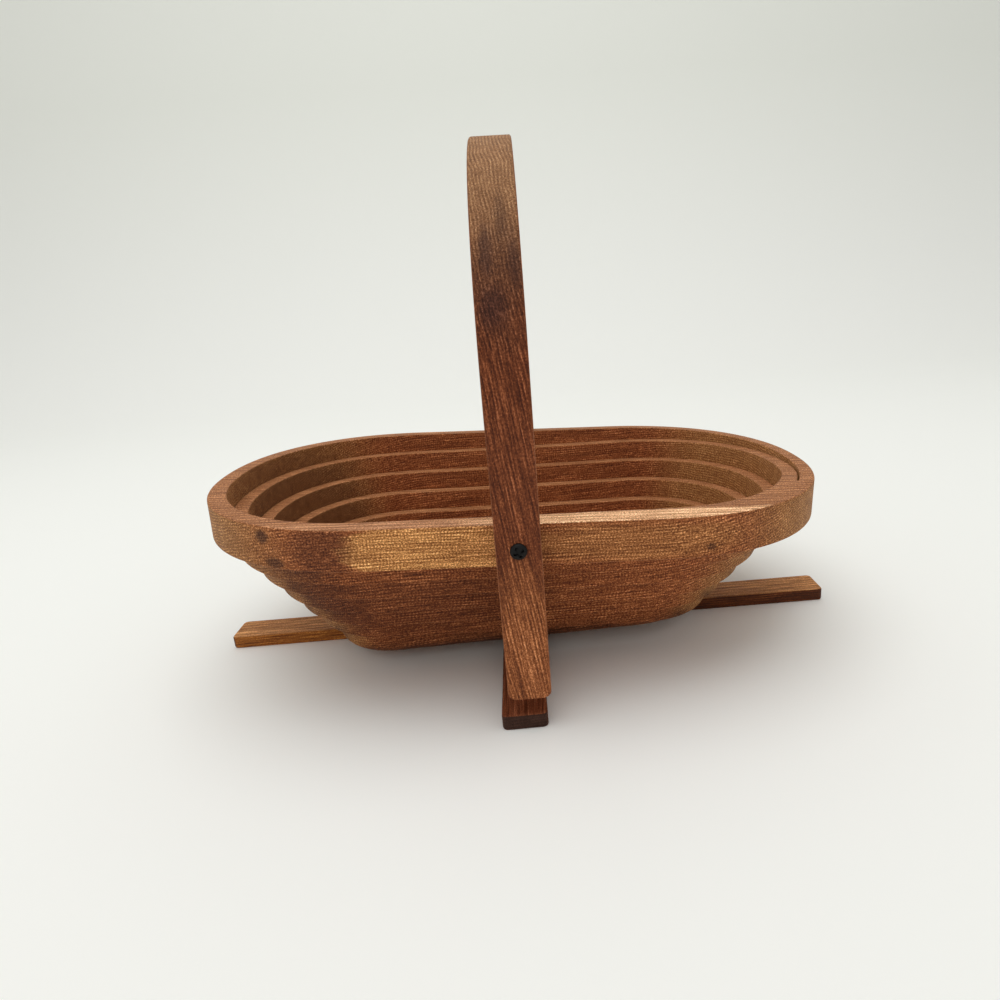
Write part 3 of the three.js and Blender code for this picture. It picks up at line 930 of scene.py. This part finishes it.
@dataclass
class SpiralBoard:
    """The sawn board: rim, five level stretches, six ramps and the bottom plate."""

    shape: BoardShape
    wood: bpy.types.Material
    top_round: float = 0.6
    low_round: float = 0.45
    rim_round: float = 0.9
    rim_round_steps: int = 4
    plate_round_steps: int = 6
    # A round drawn with one point between its ends has it this share of the radius inside
    round_middle: float = 0.3
    # Over this stretch of the loop the last turn draws back by the gap around the plate
    gap_start: float = 0.1
    gap_length: float = 0.2
    # Where the ramps are parted into stretches
    ramp_cuts: tuple[float, ...] = (0.0, 0.045, 0.1, 0.17, 0.25, 0.34)

    def places(self, start: float, end: float) -> list[float]:
        """Returns the shares of the loop between two ends, evenly spaced."""
        count = max(2, math.ceil((end - start) * self.shape.steps))
        return [start + (end - start) * i / count for i in range(count + 1)]

    def section(self, turn: int, q: float, extra: float) -> list[Pair]:
        """Makes a turn's section, with its edges rounded.

        Args:
            turn: number of the turn.
            q: share of the loop.
            extra: how far the turn's outer wall is drawn back.

        Returns:
            Pairs of inset and depth.
        """
        s, t = self.shape, self.shape.thickness
        corners = [(s.kerf(turn, q, 0, 1) + extra, 0.0), (s.kerf(turn + 1, q, 0, -1), 0.0),
                   (s.kerf(turn + 1, q, t, -1), t), (s.kerf(turn, q, t, 1) + extra, t)]
        return rounded_section(corners, [self.top_round, self.top_round, self.low_round,
                                         self.low_round])

    def turn_mesh(self, name: str, turn: int, start: float, end: float) -> bpy.types.Object:
        """Makes a stretch of one turn.

        Args:
            name: name of the object.
            turn: number of the turn.
            start: share of the loop where it starts.
            end: share of the loop where it ends.

        Returns:
            The object.
        """
        s = self.shape
        last = turn == s.turns
        sweep = Sweep()
        for q in self.places(start, end):
            share = s.ramp(q)
            drawn = min(1.0, max(0.0, (q - self.gap_start) / self.gap_length))
            extra = s.plate_gap * drawn if last else 0.0
            row, place = [], []
            for inset, depth in self.section(turn, q, extra):
                u, v = s.loop_point(q, inset)
                place.append((u, v, -depth))
                if last:
                    # The last ramp also turns from the rim's slant to the plate's level
                    high = s.tilted(u, v, -depth - s.drop * (turn - 1))
                    low = s.level(u, v, -depth - s.drop * turn)
                    row.append(tuple(a + share * (b - a) for a, b in zip(high, low)))
                else:
                    row.append(s.tilted(u, v, -depth - s.drop * (turn - 1 + share)))
            sweep.add(row, place, [s.run(turn, q)] * len(row))
        return sweep.mesh(name)

    def rim_mesh(self) -> bpy.types.Object:
        """Makes the rim hoop, wider along the front where the kerf steps inwards.

        Returns:
            The object.
        """
        s, t = self.shape, self.shape.thickness
        sweep = Sweep()
        for q in self.places(0.0, 1.0):
            at = min(q, LOOP_END)
            corners = [(0.0, 0.0), (s.kerf(1, at, 0, -1), 0.0), (s.kerf(1, at, t, -1), t),
                       (0.0, t)]
            radii = [self.rim_round, self.top_round, self.low_round, self.rim_round]
            plan = [(*s.loop_point(at, inset), -depth) for inset, depth
                    in rounded_section(corners, radii, self.rim_round_steps)]
            sweep.add([s.tilted(*p) for p in plan], plan, [s.run(0, q)] * len(plan))
        return sweep.mesh("spiral_rim")

    def plate_mesh(self) -> bpy.types.Object:
        """Makes the bottom plate, everything inside the last stretch of the kerf.

        Returns:
            The object.
        """
        s, t = self.shape, self.shape.thickness
        stations = [(s.turns + 1, q) for q in self.places(0.0, s.ramp_end)]
        stations += [(s.turns, q) for q in self.places(s.ramp_end, LOOP_END)]
        r, low = self.top_round, s.plate_round
        step = math.pi / 2 / self.plate_round_steps
        layers = [(t - low * (1 - math.cos(a)), low * (1 - math.sin(a)))
                  for a in (step * i for i in range(self.plate_round_steps + 1))]
        layers += [(r, 0.0), (r * self.round_middle, r * self.round_middle), (0.0, r)]
        sweep = Sweep()
        for depth, extra in layers:
            row, place = [], []
            for turn, q in stations:
                inset = s.kerf(turn, q, depth, 1) + s.plate_gap + extra
                u, v = s.loop_point(q, inset)
                place.append((u, v, -depth))
                row.append(s.level(u, v, -depth - s.drop * s.turns))
            sweep.add(row, place, [s.run(s.turns, q) for _, q in stations])
        return sweep.mesh("spiral_plate")

    def bend_limits(self, start: float, end: float) -> tuple[Point, Point]:
        """Finds the line along which a ramp stretch changes from one body to the next.

        Args:
            start: share of the loop where the stretch starts.
            end: share of the loop where it ends.

        Returns:
            Start and end of the line, in plan and in metres, so that the eased share of the
            way along it is the ramp's own share at both ends of the stretch.
        """
        s = self.shape
        middle = s.kerf_inset + s.pitch * s.turns / 2
        a, b = (np.array(s.loop_point(q, middle)) * MM for q in (start, end))
        # The share t of the way where 3t squared less 2t cubed is the ramp's share
        ta, tb = (0.5 - math.sin(math.asin(1 - 2 * s.ramp(q)) / 3) for q in (start, end))
        step = (b - a) / (tb - ta)
        return (*(a - step * ta), 0.0), (*(b + step * (1 - tb)), 0.0)

    def build(self) -> list[bpy.types.Object]:
        """Makes every stretch and dresses it; the rim, the plate and the level stretches ride on
        their bodies.

        Returns:
            The objects.
        """
        s = self.shape
        rim, plate = self.rim_mesh(), self.plate_mesh()
        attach(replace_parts(rim, "rim_hoop"), "rim")
        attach(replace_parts(plate, "bottom_plate"), "base")
        pieces = [rim, plate]
        chain = ["rim"] + [f"turn_{k}" for k in range(1, s.turns)] + ["base"]
        cuts = [*self.ramp_cuts, s.ramp_end]
        for turn in range(1, s.turns + 1):
            for number, (start, end) in enumerate(zip(cuts, cuts[1:]), start=1):
                part = self.turn_mesh(f"turn_{turn}_ramp_{number}", turn, start, end)
                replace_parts(part, f"spiral_ramp_{turn}")
                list(self.bend_limits(start, end))
                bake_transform(part)
                pieces.append(part)
            if turn < s.turns:
                part = self.turn_mesh(f"turn_{turn}_level", turn, s.ramp_end, LOOP_END)
                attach(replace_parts(part, f"spiral_level_{turn}"), chain[turn])
                pieces.append(part)
        for part in pieces:
            dress(part, self.wood)
        return pieces


@dataclass
class HandleHoop:
    """The carrying hoop, sawn from the same board, upright on its two pivots."""

    shape: BoardShape
    wood: bpy.types.Material
    gap: float = 1.3
    thickness: float = 10.0
    width: float = 18.0
    lean: float = -0.0139
    foot_depth: float = 65.4
    foot_round: float = 2.8
    foot_steps: int = 6
    edge_round: float = 1.0
    edge_steps: int = 4
    pivot_height: float = 81.059
    leg_steps: int = 24
    arch_steps: int = 120

    def path(self) -> list[Pair]:
        """Traces the hoop's middle line, seen along the board.

        Returns:
            Its points from foot to foot, in millimetres across and above the pivots.
        """
        s = self.shape
        straight = s.half_length - s.end_length
        out = self.gap + self.thickness / 2
        half, rise = s.half_width + out, s.end_length + out
        leg = [-self.foot_depth + self.foot_round * i / self.foot_steps
               for i in range(self.foot_steps + 1)]
        leg += [leg[-1] + (straight - leg[-1]) * i / self.leg_steps
                for i in range(1, self.leg_steps + 1)]
        p = 2 / s.power
        angles = [math.pi * i / self.arch_steps for i in range(1, self.arch_steps)]
        arch = [(-half * math.copysign(abs(math.cos(a)) ** p, math.cos(a)),
                 straight + rise * math.sin(a) ** p) for a in angles]
        return [(-half, z) for z in leg] + arch + [(half, z) for z in reversed(leg)]

    def tree(self) -> bpy.types.NodeTree:
        """Builds the tree that sweeps the hoop's section along its path.

        Returns:
            The tree.
        """
        tree, given = new_tree("hoop_along_path", {
            "Width": self.width, "Thickness": self.thickness, "Edge Round": self.edge_round,
            "Foot Depth": self.foot_depth, "Foot Round": self.foot_round,
            "Pivot Height": self.pivot_height})
        size = given.outputs
        # The run along the sawn wall, for the saw marks
        along = add_node(tree, "GeometryNodeSplineParameter")
        path = add_node(tree, "GeometryNodeStoreNamedAttribute", {
            "Geometry": size["Geometry"], "Name": "saw_run",
            "Value": along.outputs["Length"]}, data_type="FLOAT", domain="POINT")
        path = add_node(tree, "GeometryNodeSetCurveNormal", {
            "Curve": path, "Normal": (1.0, 0.0, 0.0)}, mode="FREE")
        section = add_node(tree, "GeometryNodeCurvePrimitiveQuadrilateral", {
            "Width": size["Width"], "Height": size["Thickness"]})
        section = add_node(tree, "GeometryNodeFilletCurve", {
            "Curve": section, "Count": self.edge_steps, "Radius": size["Edge Round"]},
            mode="POLY")
        hoop = add_node(tree, "GeometryNodeCurveToMesh", {
            "Curve": path, "Profile Curve": section, "Fill Caps": True})
        hoop = add_node(tree, "GeometryNodeSetPosition", {
            "Geometry": hoop, "Position": self.rounded_feet(tree, size)})
        # The hoop lay in the board with its height along the grain
        after = add_node(tree, "ShaderNodeSeparateXYZ",
                         {0: add_node(tree, "GeometryNodeInputPosition")})
        board = add_node(tree, "ShaderNodeCombineXYZ", {
            0: after.outputs["Z"], 1: after.outputs["Y"], 2: after.outputs["X"]})
        hoop = add_node(tree, "GeometryNodeStoreNamedAttribute", {
            "Geometry": hoop, "Name": "board_place", "Value": board},
            data_type="FLOAT_VECTOR", domain="POINT")
        lift = add_node(tree, "ShaderNodeCombineXYZ", {2: size["Pivot Height"]})
        hoop = add_node(tree, "GeometryNodeTransform", {
            "Geometry": hoop, "Translation": lift, "Rotation": (0.0, -self.lean, 0.0)})
        hoop = add_node(tree, "GeometryNodeRealizeInstances", {"Geometry": hoop})
        hoop = add_node(tree, "GeometryNodeSetMaterial", {
            "Geometry": hoop, "Material": size["Material"]})
        add_node(tree, "NodeGroupOutput", {0: hoop})
        return tree

    def rounded_feet(self, tree: bpy.types.NodeTree,
                     size: bpy.types.bpy_prop_collection) -> bpy.types.Node:
        """Adds the nodes that narrow the hoop over its last bit, which rounds its feet.

        Args:
            tree: the tree.
            size: the outputs of its group input.

        Returns:
            The node with each point's new place.
        """
        place = add_node(tree, "ShaderNodeSeparateXYZ",
                         {0: add_node(tree, "GeometryNodeInputPosition")})
        above = add_node(tree, "ShaderNodeMath", {
            0: place.outputs["Z"], 1: size["Foot Depth"]}, operation="ADD")
        short = add_node(tree, "ShaderNodeMath", {0: size["Foot Round"], 1: above},
                         operation="SUBTRACT")
        short = add_node(tree, "ShaderNodeMath", {0: short, 1: 0.0}, operation="MAXIMUM")
        share = add_node(tree, "ShaderNodeMath", {0: short, 1: size["Foot Round"]},
                         operation="DIVIDE", use_clamp=True)
        # Each corner follows a quarter circle
        square = add_node(tree, "ShaderNodeMath", {0: share, 1: share}, operation="MULTIPLY")
        square = add_node(tree, "ShaderNodeMath", {0: 1.0, 1: square}, operation="SUBTRACT")
        left = add_node(tree, "ShaderNodeMath", {0: square}, operation="SQRT")
        lost = add_node(tree, "ShaderNodeMath", {0: 1.0, 1: left}, operation="SUBTRACT")
        lost = add_node(tree, "ShaderNodeMath", {0: lost, 1: size["Foot Round"]},
                        operation="MULTIPLY")
        half = add_node(tree, "ShaderNodeMath", {0: size["Width"], 1: 0.5},
                        operation="MULTIPLY")
        narrow = add_node(tree, "ShaderNodeMath", {0: lost, 1: half}, operation="DIVIDE")
        narrow = add_node(tree, "ShaderNodeMath", {0: 1.0, 1: narrow}, operation="SUBTRACT")
        narrow = add_node(tree, "ShaderNodeMath", {0: narrow, 1: place.outputs["X"]},
                          operation="MULTIPLY")
        return add_node(tree, "ShaderNodeCombineXYZ", {
            0: narrow, 1: place.outputs["Y"], 2: place.outputs["Z"]})

    def build(self) -> bpy.types.Object:
        """Makes the hoop along its path and lets it ride on the handle.

        Returns:
            The object.
        """
        points = self.path()
        curve = bpy.data.curves.new("hoop_path", "CURVE")
        curve.dimensions = "3D"
        spline = curve.splines.new("POLY")
        spline.points.add(len(points) - 1)
        for point, (y, z) in zip(spline.points, points):
            point.co = (0.0, y * MM, z * MM, 1.0)
        base = new_object("hoop_path", curve)
        hoop = grown_mesh(base, self.tree(), {"Material": self.wood}, "carrying_hoop")
        dress(hoop, self.wood)
        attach(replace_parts(hoop, "handle_hoop"), "handle")
        return hoop


@dataclass
class SlatFeet:
    """The two crossed slats under the plate: the solids' own shapes, each in its wood."""

    nodes: dict[str, bpy.types.Object]
    long_wood: bpy.types.Material
    cross_wood: bpy.types.Material

    def build(self) -> list[bpy.types.Object]:
        """Dresses both slats.

        Returns:
            The slats.
        """
        slats = [self.nodes["long_slat"], self.nodes["cross_slat"]]
        for slat, wood in zip(slats, (self.long_wood, self.cross_wood)):
            dress(slat, wood)
        return slats


@dataclass
class CrossHeadScrews:
    """A set of alike screws with a cross recess, each at its place and looking outwards."""

    name: str
    body: str
    solids: tuple[str, ...]
    places: tuple[Point, ...]
    aims: tuple[Point, ...]
    steel: bpy.types.Material
    head_height: float
    length: float
    head_radius: float = 3.4
    shank_radius: float = 1.6
    recess_width: float = 1.2
    recess_reach: float = 4.4
    recess_depth: float = 1.5
    recess_turn: float = 0.4
    # Side of the block that cuts the head's ball level, larger than any head
    block: float = 20.0
    # Share of the head's height by which the shank stands inside the head
    overlap: float = 0.4
    head_faces: tuple[int, int] = (40, 20)
    shank_faces: int = 24

    def head(self, tree: bpy.types.NodeTree,
             size: bpy.types.bpy_prop_collection) -> bpy.types.Node:
        """Adds the head: a flattened ball, level where it sits on the wood, with its recess.

        Args:
            tree: the tree.
            size: the outputs of its group input.

        Returns:
            The head's mesh.
        """
        ball = add_node(tree, "GeometryNodeMeshUVSphere", {
            "Segments": self.head_faces[0], "Rings": self.head_faces[1],
            "Radius": size["Head Radius"]})
        flat = add_node(tree, "ShaderNodeMath", {
            0: size["Head Height"], 1: size["Head Radius"]}, operation="DIVIDE")
        squash = add_node(tree, "ShaderNodeCombineXYZ", {0: 1.0, 1: 1.0, 2: flat})
        ball = add_node(tree, "GeometryNodeTransform", {"Geometry": ball, "Scale": squash})
        below = add_node(tree, "GeometryNodeMeshCube", {"Size": (self.block * MM,) * 3})
        below = add_node(tree, "GeometryNodeTransform", {
            "Geometry": below, "Translation": (0.0, 0.0, -self.block * MM / 2)})
        double = add_node(tree, "ShaderNodeMath", {0: size["Recess Depth"], 1: 2.0},
                          operation="MULTIPLY")
        blade = add_node(tree, "ShaderNodeCombineXYZ", {
            0: size["Recess Reach"], 1: size["Recess Width"], 2: double})
        lift = add_node(tree, "ShaderNodeCombineXYZ", {2: size["Head Height"]})
        cutters = [below]
        for angle in (self.recess_turn, self.recess_turn + math.pi / 2):
            cutter = add_node(tree, "GeometryNodeMeshCube", {"Size": blade})
            cutters.append(add_node(tree, "GeometryNodeTransform", {
                "Geometry": cutter, "Translation": lift, "Rotation": (0.0, 0.0, angle)}))
        head = ball
        for cutter in cutters:
            head = add_node(tree, "GeometryNodeMeshBoolean", {"Mesh 1": head, "Mesh 2": cutter},
                            operation="DIFFERENCE", solver="EXACT")
        return head

    def shank(self, tree: bpy.types.NodeTree,
              size: bpy.types.bpy_prop_collection) -> bpy.types.Node:
        """Adds the shank, whose top stands a little inside the head.

        Args:
            tree: the tree.
            size: the outputs of its group input.

        Returns:
            The shank's mesh.
        """
        shank = add_node(tree, "GeometryNodeMeshCylinder", {
            "Vertices": self.shank_faces, "Radius": size["Shank Radius"],
            "Depth": size["Length"]})
        drop = add_node(tree, "ShaderNodeMath", {
            0: size["Length"], 1: -0.5, 2: size["Head Height"]}, operation="MULTIPLY_ADD")
        drop = add_node(tree, "ShaderNodeMath", {
            0: size["Head Height"], 1: self.overlap - 1, 2: drop}, operation="MULTIPLY_ADD")
        sink = add_node(tree, "ShaderNodeCombineXYZ", {2: drop})
        return add_node(tree, "GeometryNodeTransform", {
            "Geometry": shank, "Translation": sink})

    def tree(self) -> bpy.types.NodeTree:
        """Builds the tree that puts one screw on every point.

        Returns:
            The tree.
        """
        tree, given = new_tree(f"{self.name}_on_points", {
            "Head Radius": self.head_radius, "Head Height": self.head_height,
            "Shank Radius": self.shank_radius, "Length": self.length,
            "Recess Width": self.recess_width, "Recess Reach": self.recess_reach,
            "Recess Depth": self.recess_depth})
        size = given.outputs
        whole = add_node(tree, "GeometryNodeMeshBoolean", {"Mesh 2": self.head(tree, size)},
                         operation="UNION", solver="EXACT")
        tree.links.new(self.shank(tree, size).outputs[0], whole.inputs["Mesh 2"])
        aim = add_node(tree, "GeometryNodeInputNamedAttribute", {"Name": "aim"},
                       data_type="FLOAT_VECTOR")
        turn = add_node(tree, "FunctionNodeAlignRotationToVector", {"Vector": aim}, axis="Z")
        spots = add_node(tree, "GeometryNodeMeshToPoints", {"Mesh": size["Geometry"]})
        placed = add_node(tree, "GeometryNodeInstanceOnPoints", {
            "Points": spots, "Instance": whole, "Rotation": turn})
        solid = add_node(tree, "GeometryNodeRealizeInstances", {"Geometry": placed})
        solid = add_node(tree, "GeometryNodeSetMaterial", {
            "Geometry": solid, "Material": size["Material"]})
        add_node(tree, "NodeGroupOutput", {0: solid})
        return tree

    def build(self) -> bpy.types.Object:
        """Makes the screws as one mesh and lets it ride on its body.

        Returns:
            The object.
        """
        mesh = bpy.data.meshes.new(f"{self.name}_places")
        mesh.from_pydata([tuple(c * MM for c in p) for p in self.places], [], [])
        aims = mesh.attributes.new("aim", "FLOAT_VECTOR", "POINT")
        aims.data.foreach_set("vector", np.array(self.aims, np.float32).ravel())
        base = new_object(f"{self.name}_places", mesh)
        screws = grown_mesh(base, self.tree(), {"Material": self.steel}, self.name)
        dress(screws, self.steel)
        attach(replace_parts(screws, *self.solids), self.body)
        return screws


@dataclass
class Studio:
    """A pale sweep of floor and wall, a soft lamp overhead and an even room, in metres."""

    room_colour: str = "#f6f5f2"
    room_strength: float = 0.6
    backdrop_colour: str = "#eeeeec"
    half_width: float = 4.0
    near: float = -3.0
    curve_start: float = 0.75
    curve_radius: float = 0.6
    curve_steps: int = 24
    wall_height: float = 3.5
    lamp_place: Point = (-0.15, -0.1, 1.55)
    lamp_aim: Point = (0.0, 0.0, 0.08)
    lamp_size: float = 1.6
    lamp_power: float = 12.5

    def build(self) -> None:
        """Makes the sweep, the room and the lamp."""
        profile = [(self.near, 0.0)]
        for i in range(self.curve_steps + 1):
            angle = math.pi / 2 * i / self.curve_steps
            profile.append((self.curve_start + self.curve_radius * math.sin(angle),
                            self.curve_radius * (1 - math.cos(angle))))
        profile.append((self.curve_start + self.curve_radius, self.wall_height))
        points = [(side * self.half_width, y, z) for y, z in profile for side in (-1, 1)]
        faces = [(i, i + 1, i + 3, i + 2) for i in range(0, len(points) - 2, 2)]
        mesh = bpy.data.meshes.new("studio_sweep")
        mesh.from_pydata(points, [], faces)
        mesh.shade_smooth()
        sweep = new_object("studio_sweep", mesh)
        dress(sweep, MattePaper(change_height=self.curve_radius).build())
        self.room()
        self.lamp()

    def room(self) -> None:
        """Makes the room's even light, with a white that only the camera and gloss see."""
        world = bpy.data.worlds.new("room")
        bpy.context.scene.world = world
        world.use_nodes = True
        tree = world.node_tree
        tree.nodes.clear()
        path = add_node(tree, "ShaderNodeLightPath")
        seen = add_node(tree, "ShaderNodeMath", {
            0: path.outputs["Is Camera Ray"], 1: path.outputs["Is Glossy Ray"]},
            operation="MAXIMUM")
        seen = add_node(tree, "ShaderNodeMath", {
            0: seen, 1: path.outputs["Is Transmission Ray"]}, operation="MAXIMUM")
        light = add_node(tree, "ShaderNodeBackground", {
            "Color": linear(self.room_colour), "Strength": self.room_strength})
        backdrop = add_node(tree, "ShaderNodeBackground", {
            "Color": linear(self.backdrop_colour), "Strength": 1.0})
        mix = add_node(tree, "ShaderNodeMixShader", {0: seen, 1: light, 2: backdrop})
        add_node(tree, "ShaderNodeOutputWorld", {"Surface": mix})

    def lamp(self) -> None:
        """Hangs the square soft lamp."""
        data = bpy.data.lights.new("overhead", "AREA")
        data.shape = "SQUARE"
        data.size = self.lamp_size
        data.energy = self.lamp_power
        lamp = new_object("overhead", data)
        lamp.location = self.lamp_place
        ahead = Vector(self.lamp_aim) - Vector(self.lamp_place)
        lamp.rotation_euler = ahead.to_track_quat("-Z", "Y").to_euler()


@dataclass
class PhotoCamera:
    """The viewpoint fitted to the photograph: place and lens in mm, angles in radians."""

    place: Point = (6.5877, -357.9601, 179.4658)
    yaw: float = 0.0278
    pitch: float = 0.3035
    roll: float = 0.0776
    lens: float = 25.2
    sensor: float = 36.0
    shift: Pair = (-0.05, 0.0)
    clip: float = 10.0

    def build(self) -> None:
        """Creates the camera and makes it the scene's own."""
        cy, sy = math.cos(self.yaw), math.sin(self.yaw)
        cp, sp = math.cos(self.pitch), math.sin(self.pitch)
        ahead = Vector((sy * cp, cy * cp, -sp))
        right = Vector((cy, -sy, 0.0))
        down = ahead.cross(right)
        cr, sr = math.cos(self.roll), math.sin(self.roll)
        r = cr * right + sr * down
        d = -sr * right + cr * down
        turn = Matrix((r, -d, -ahead)).transposed()
        data = bpy.data.cameras.new("photo_camera")
        data.lens = self.lens
        data.sensor_width = self.sensor
        data.sensor_fit = "HORIZONTAL"
        data.shift_x, data.shift_y = self.shift
        data.clip_start = self.clip * MM
        camera = new_object("photo_camera", data)
        camera.matrix_world = Matrix.Translation(Vector(self.place) * MM) @ turn.to_4x4()
        bpy.context.scene.camera = camera


def board_wood() -> bpy.types.Material:
    """Makes the wood of the sawn board, a warm brown with the marks of this one board, and with
    painted shade and a painted sheen.

    Returns:
        The material.
    """
    stains_and_painted_light = (
        # Pale sapwood along the rim's front top, stronger on the right; part of its paleness is a
        # painted sheen
        StainOrPaintedLight((66.0, -92.0, 0.0), (95.0, 9.0, 6.0), "#e6ae7e", 0.95, Face.TOP, 0.25),
        StainOrPaintedLight((-70.0, -93.0, 0.0), (60.0, 8.0, 6.0), "#b87e55", 0.8, Face.TOP, 0.3),
        # The golden patch left of the handle, and a fainter one right of it
        StainOrPaintedLight((-34.5, -95.0, -9.5), (37.0, 9.0, 12.5), "#bd8048", 0.95, Face.WALL, 0.1),
        StainOrPaintedLight((48.0, -94.0, -9.5), (58.0, 6.0, 8.0), "#a2693a", 0.6, Face.WALL, 0.35),
        # The dark front left: on the rim, under it and along the turns inside
        StainOrPaintedLight((-79.0, -94.0, -8.0), (13.0, 8.0, 12.0), "#66361d", 0.7, Face.WALL, 0.4),
        StainOrPaintedLight((-88.0, -66.0, -9.0), (19.0, 19.0, 14.0), "#3f2011", 0.75, Face.WALL, 0.45),
        StainOrPaintedLight((-45.0, -64.0, -9.0), (62.0, 19.0, 18.0), "#643218", 0.65, Face.WALL, 0.35),
        # The left end's walls, darker: painted shade on its inner walls
        StainOrPaintedLight((-112.0, 14.0, -9.0), (32.0, 56.0, 22.0), "#6a4224", 0.85, Face.WALL, 0.3),
        # Painted contact shade along the plate's lower front edge, near the floor
        StainOrPaintedLight((0.0, -42.0, -20.0), (115.0, 6.0, 7.5), "#3b1e11", 0.85, Face.ALL, 0.5),
        # Three small knots in the rim's front
        StainOrPaintedLight((-104.0, -86.0, -4.5), (2.9, 6.0, 2.7), "#341b10", 0.75, Face.WALL, 0.4),
        StainOrPaintedLight((-99.0, -87.0, -15.5), (4.5, 6.0, 2.3), "#341b10", 0.7, Face.WALL, 0.4),
        StainOrPaintedLight((79.3, -93.4, -13.5), (1.9, 5.0, 1.6), "#43200f", 0.75, Face.WALL, 0.4),
    )
    return OiledHardwood("oiled_board_wood", side="#8d4e29", end="#9c683a", top="#9f663e",
                         stains_and_painted_light=stains_and_painted_light).build()


def hoop_wood() -> bpy.types.Material:
    """Makes the wood of the carrying hoop: redder, with smoother walls and longer streaks.

    Returns:
        The material.
    """
    # Stains of the arch go right across the hoop
    across = 200.0
    stains_and_painted_light = (
        # The dark arch, with dark streaks along it
        StainOrPaintedLight((98.0, 0.0, 0.0), (24.0, across, 12.0), "#52301e", 0.5, Face.WALL, 0.45),
        StainOrPaintedLight((121.0, 0.0, 2.6), (9.0, across, 2.4), "#4a2c1c", 0.45, Face.WALL, 0.45),
        StainOrPaintedLight((110.0, 0.0, -3.8), (9.0, across, 2.5), "#351b17", 0.55, Face.WALL, 0.45),
        StainOrPaintedLight((106.0, 0.0, 6.5), (11.0, across, 2.5), "#351b17", 0.5, Face.WALL, 0.45),
        StainOrPaintedLight((91.0, 0.0, -2.5), (8.0, across, 5.2), "#301716", 0.55, Face.WALL, 0.45),
        # The lighter front foot
        StainOrPaintedLight((-45.0, -101.0, 0.0), (38.0, 30.0, 14.0), "#93552f", 0.9, Face.ALL, 0.35),
    )
    hatch = Hatch(rings=0.7, fibres=1.2, dots=0.85, saw=0.15, clouds=0.3)
    return OiledHardwood("hoop_wood", side="#6f381d", end="#946843", top="#8a5233",
                         stains_and_painted_light=stains_and_painted_light, hatch=hatch, grain=Axis.Z, flat=Axis.X,
                         ring_slant=0.0, ring_cup=0.0, ring_rise=-0.14, ring_sweep=0.0,
                         offset_mm=(310.0, 0.0, 70.0)).build()


def slat_wood(name: str, colours: tuple[str, str, str], grain: Axis, offset: Point,
              stains_and_painted_light: tuple[StainOrPaintedLight, ...] = ()) -> bpy.types.Material:
    """Makes the planed wood of a slat: no saw marks, and faint streaks that run straight.

    Args:
        name: name of the material.
        colours: colours of its sides, ends and top.
        grain: the axis that its grain runs along.
        offset: place of the slat in the wood, in mm.
        stains_and_painted_light: patches of other colour.

    Returns:
        The material.
    """
    side, end, top = colours
    return OiledHardwood(name, side=side, end=end, top=top, stains_and_painted_light=stains_and_painted_light, grain=grain,
                         hatch=Hatch(rings=0.4, fibres=1.1, dots=0.6, saw=0.0, clouds=0.4),
                         ring_slant=0.0, ring_cup=0.0, ring_rise=0.01, ring_sweep=0.0,
                         sawn=False, offset_mm=offset).build()


def slat_woods() -> tuple[bpy.types.Material, bpy.types.Material]:
    """Makes the woods of both slats: golden with a dark right half, and plain dark brown.

    Returns:
        The woods of the long slat and of the cross slat.
    """
    dark_half = StainOrPaintedLight((120.0, 0.0, 3.0), (95.0, 30.0, 30.0), "#4a200b", 0.95, Face.WALL)
    return (slat_wood("long_slat_wood", ("#a06027", "#4a2a17", "#b87d49"), Axis.X,
                      (110.0, 50.0, 330.0), (dark_half,)),
            slat_wood("cross_slat_wood", ("#5a3220", "#3a2218", "#7d452a"), Axis.Y,
                      (210.0, 150.0, 230.0)))


def screw_sets(steel: bpy.types.Material) -> tuple[CrossHeadScrews, CrossHeadScrews]:
    """Sets out all screws: round heads on the hoop's pivots, nearly flat ones under the slats.

    Args:
        steel: the screws' material.

    Returns:
        The pivot screws and the slat screws.
    """
    pivots = CrossHeadScrews(
        "pivot_screws", "rim", ("pivot_screw_front", "pivot_screw_back"),
        ((0.0, -106.6, 81.06), (0.0, 106.6, 81.06)), ((0.0, -1.0, 0.0), (0.0, 1.0, 0.0)),
        steel, head_height=1.7, length=18.3)
    slat_screws = CrossHeadScrews(
        "slat_screws", "base", ("slat_screw_left", "slat_screw_centre", "slat_screw_right"),
        ((-58.0, 0.9, 0.7), (-3.9, 0.06, 0.7), (58.0, -0.9, 0.7)), ((0.0, 0.0, -1.0),) * 3,
        steel, head_height=0.3, length=18.6, recess_depth=0.25)
    return pivots, slat_screws


def main() -> None:
    """Builds the whole scene."""
    logging.basicConfig(level=logging.INFO, format="%(name)s: %(message)s")
    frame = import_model()
    bpy.context.scene.view_settings.view_transform = "Standard"
    PhotoCamera().build()
    Studio().build()
    shape = BoardShape()
    for piece in SpiralBoard(shape, board_wood()).build():
        LOG.info("made %s", piece.name)
    LOG.info("made %s", HandleHoop(shape, hoop_wood()).build().name)
    for slat in SlatFeet(frame["nodes"], *slat_woods()).build():
        LOG.info("dressed %s", slat.name)
    for screws in screw_sets(BlackenedSteel().build()):
        LOG.info("made %s", screws.build().name)


if __name__ == "__main__":
    main()
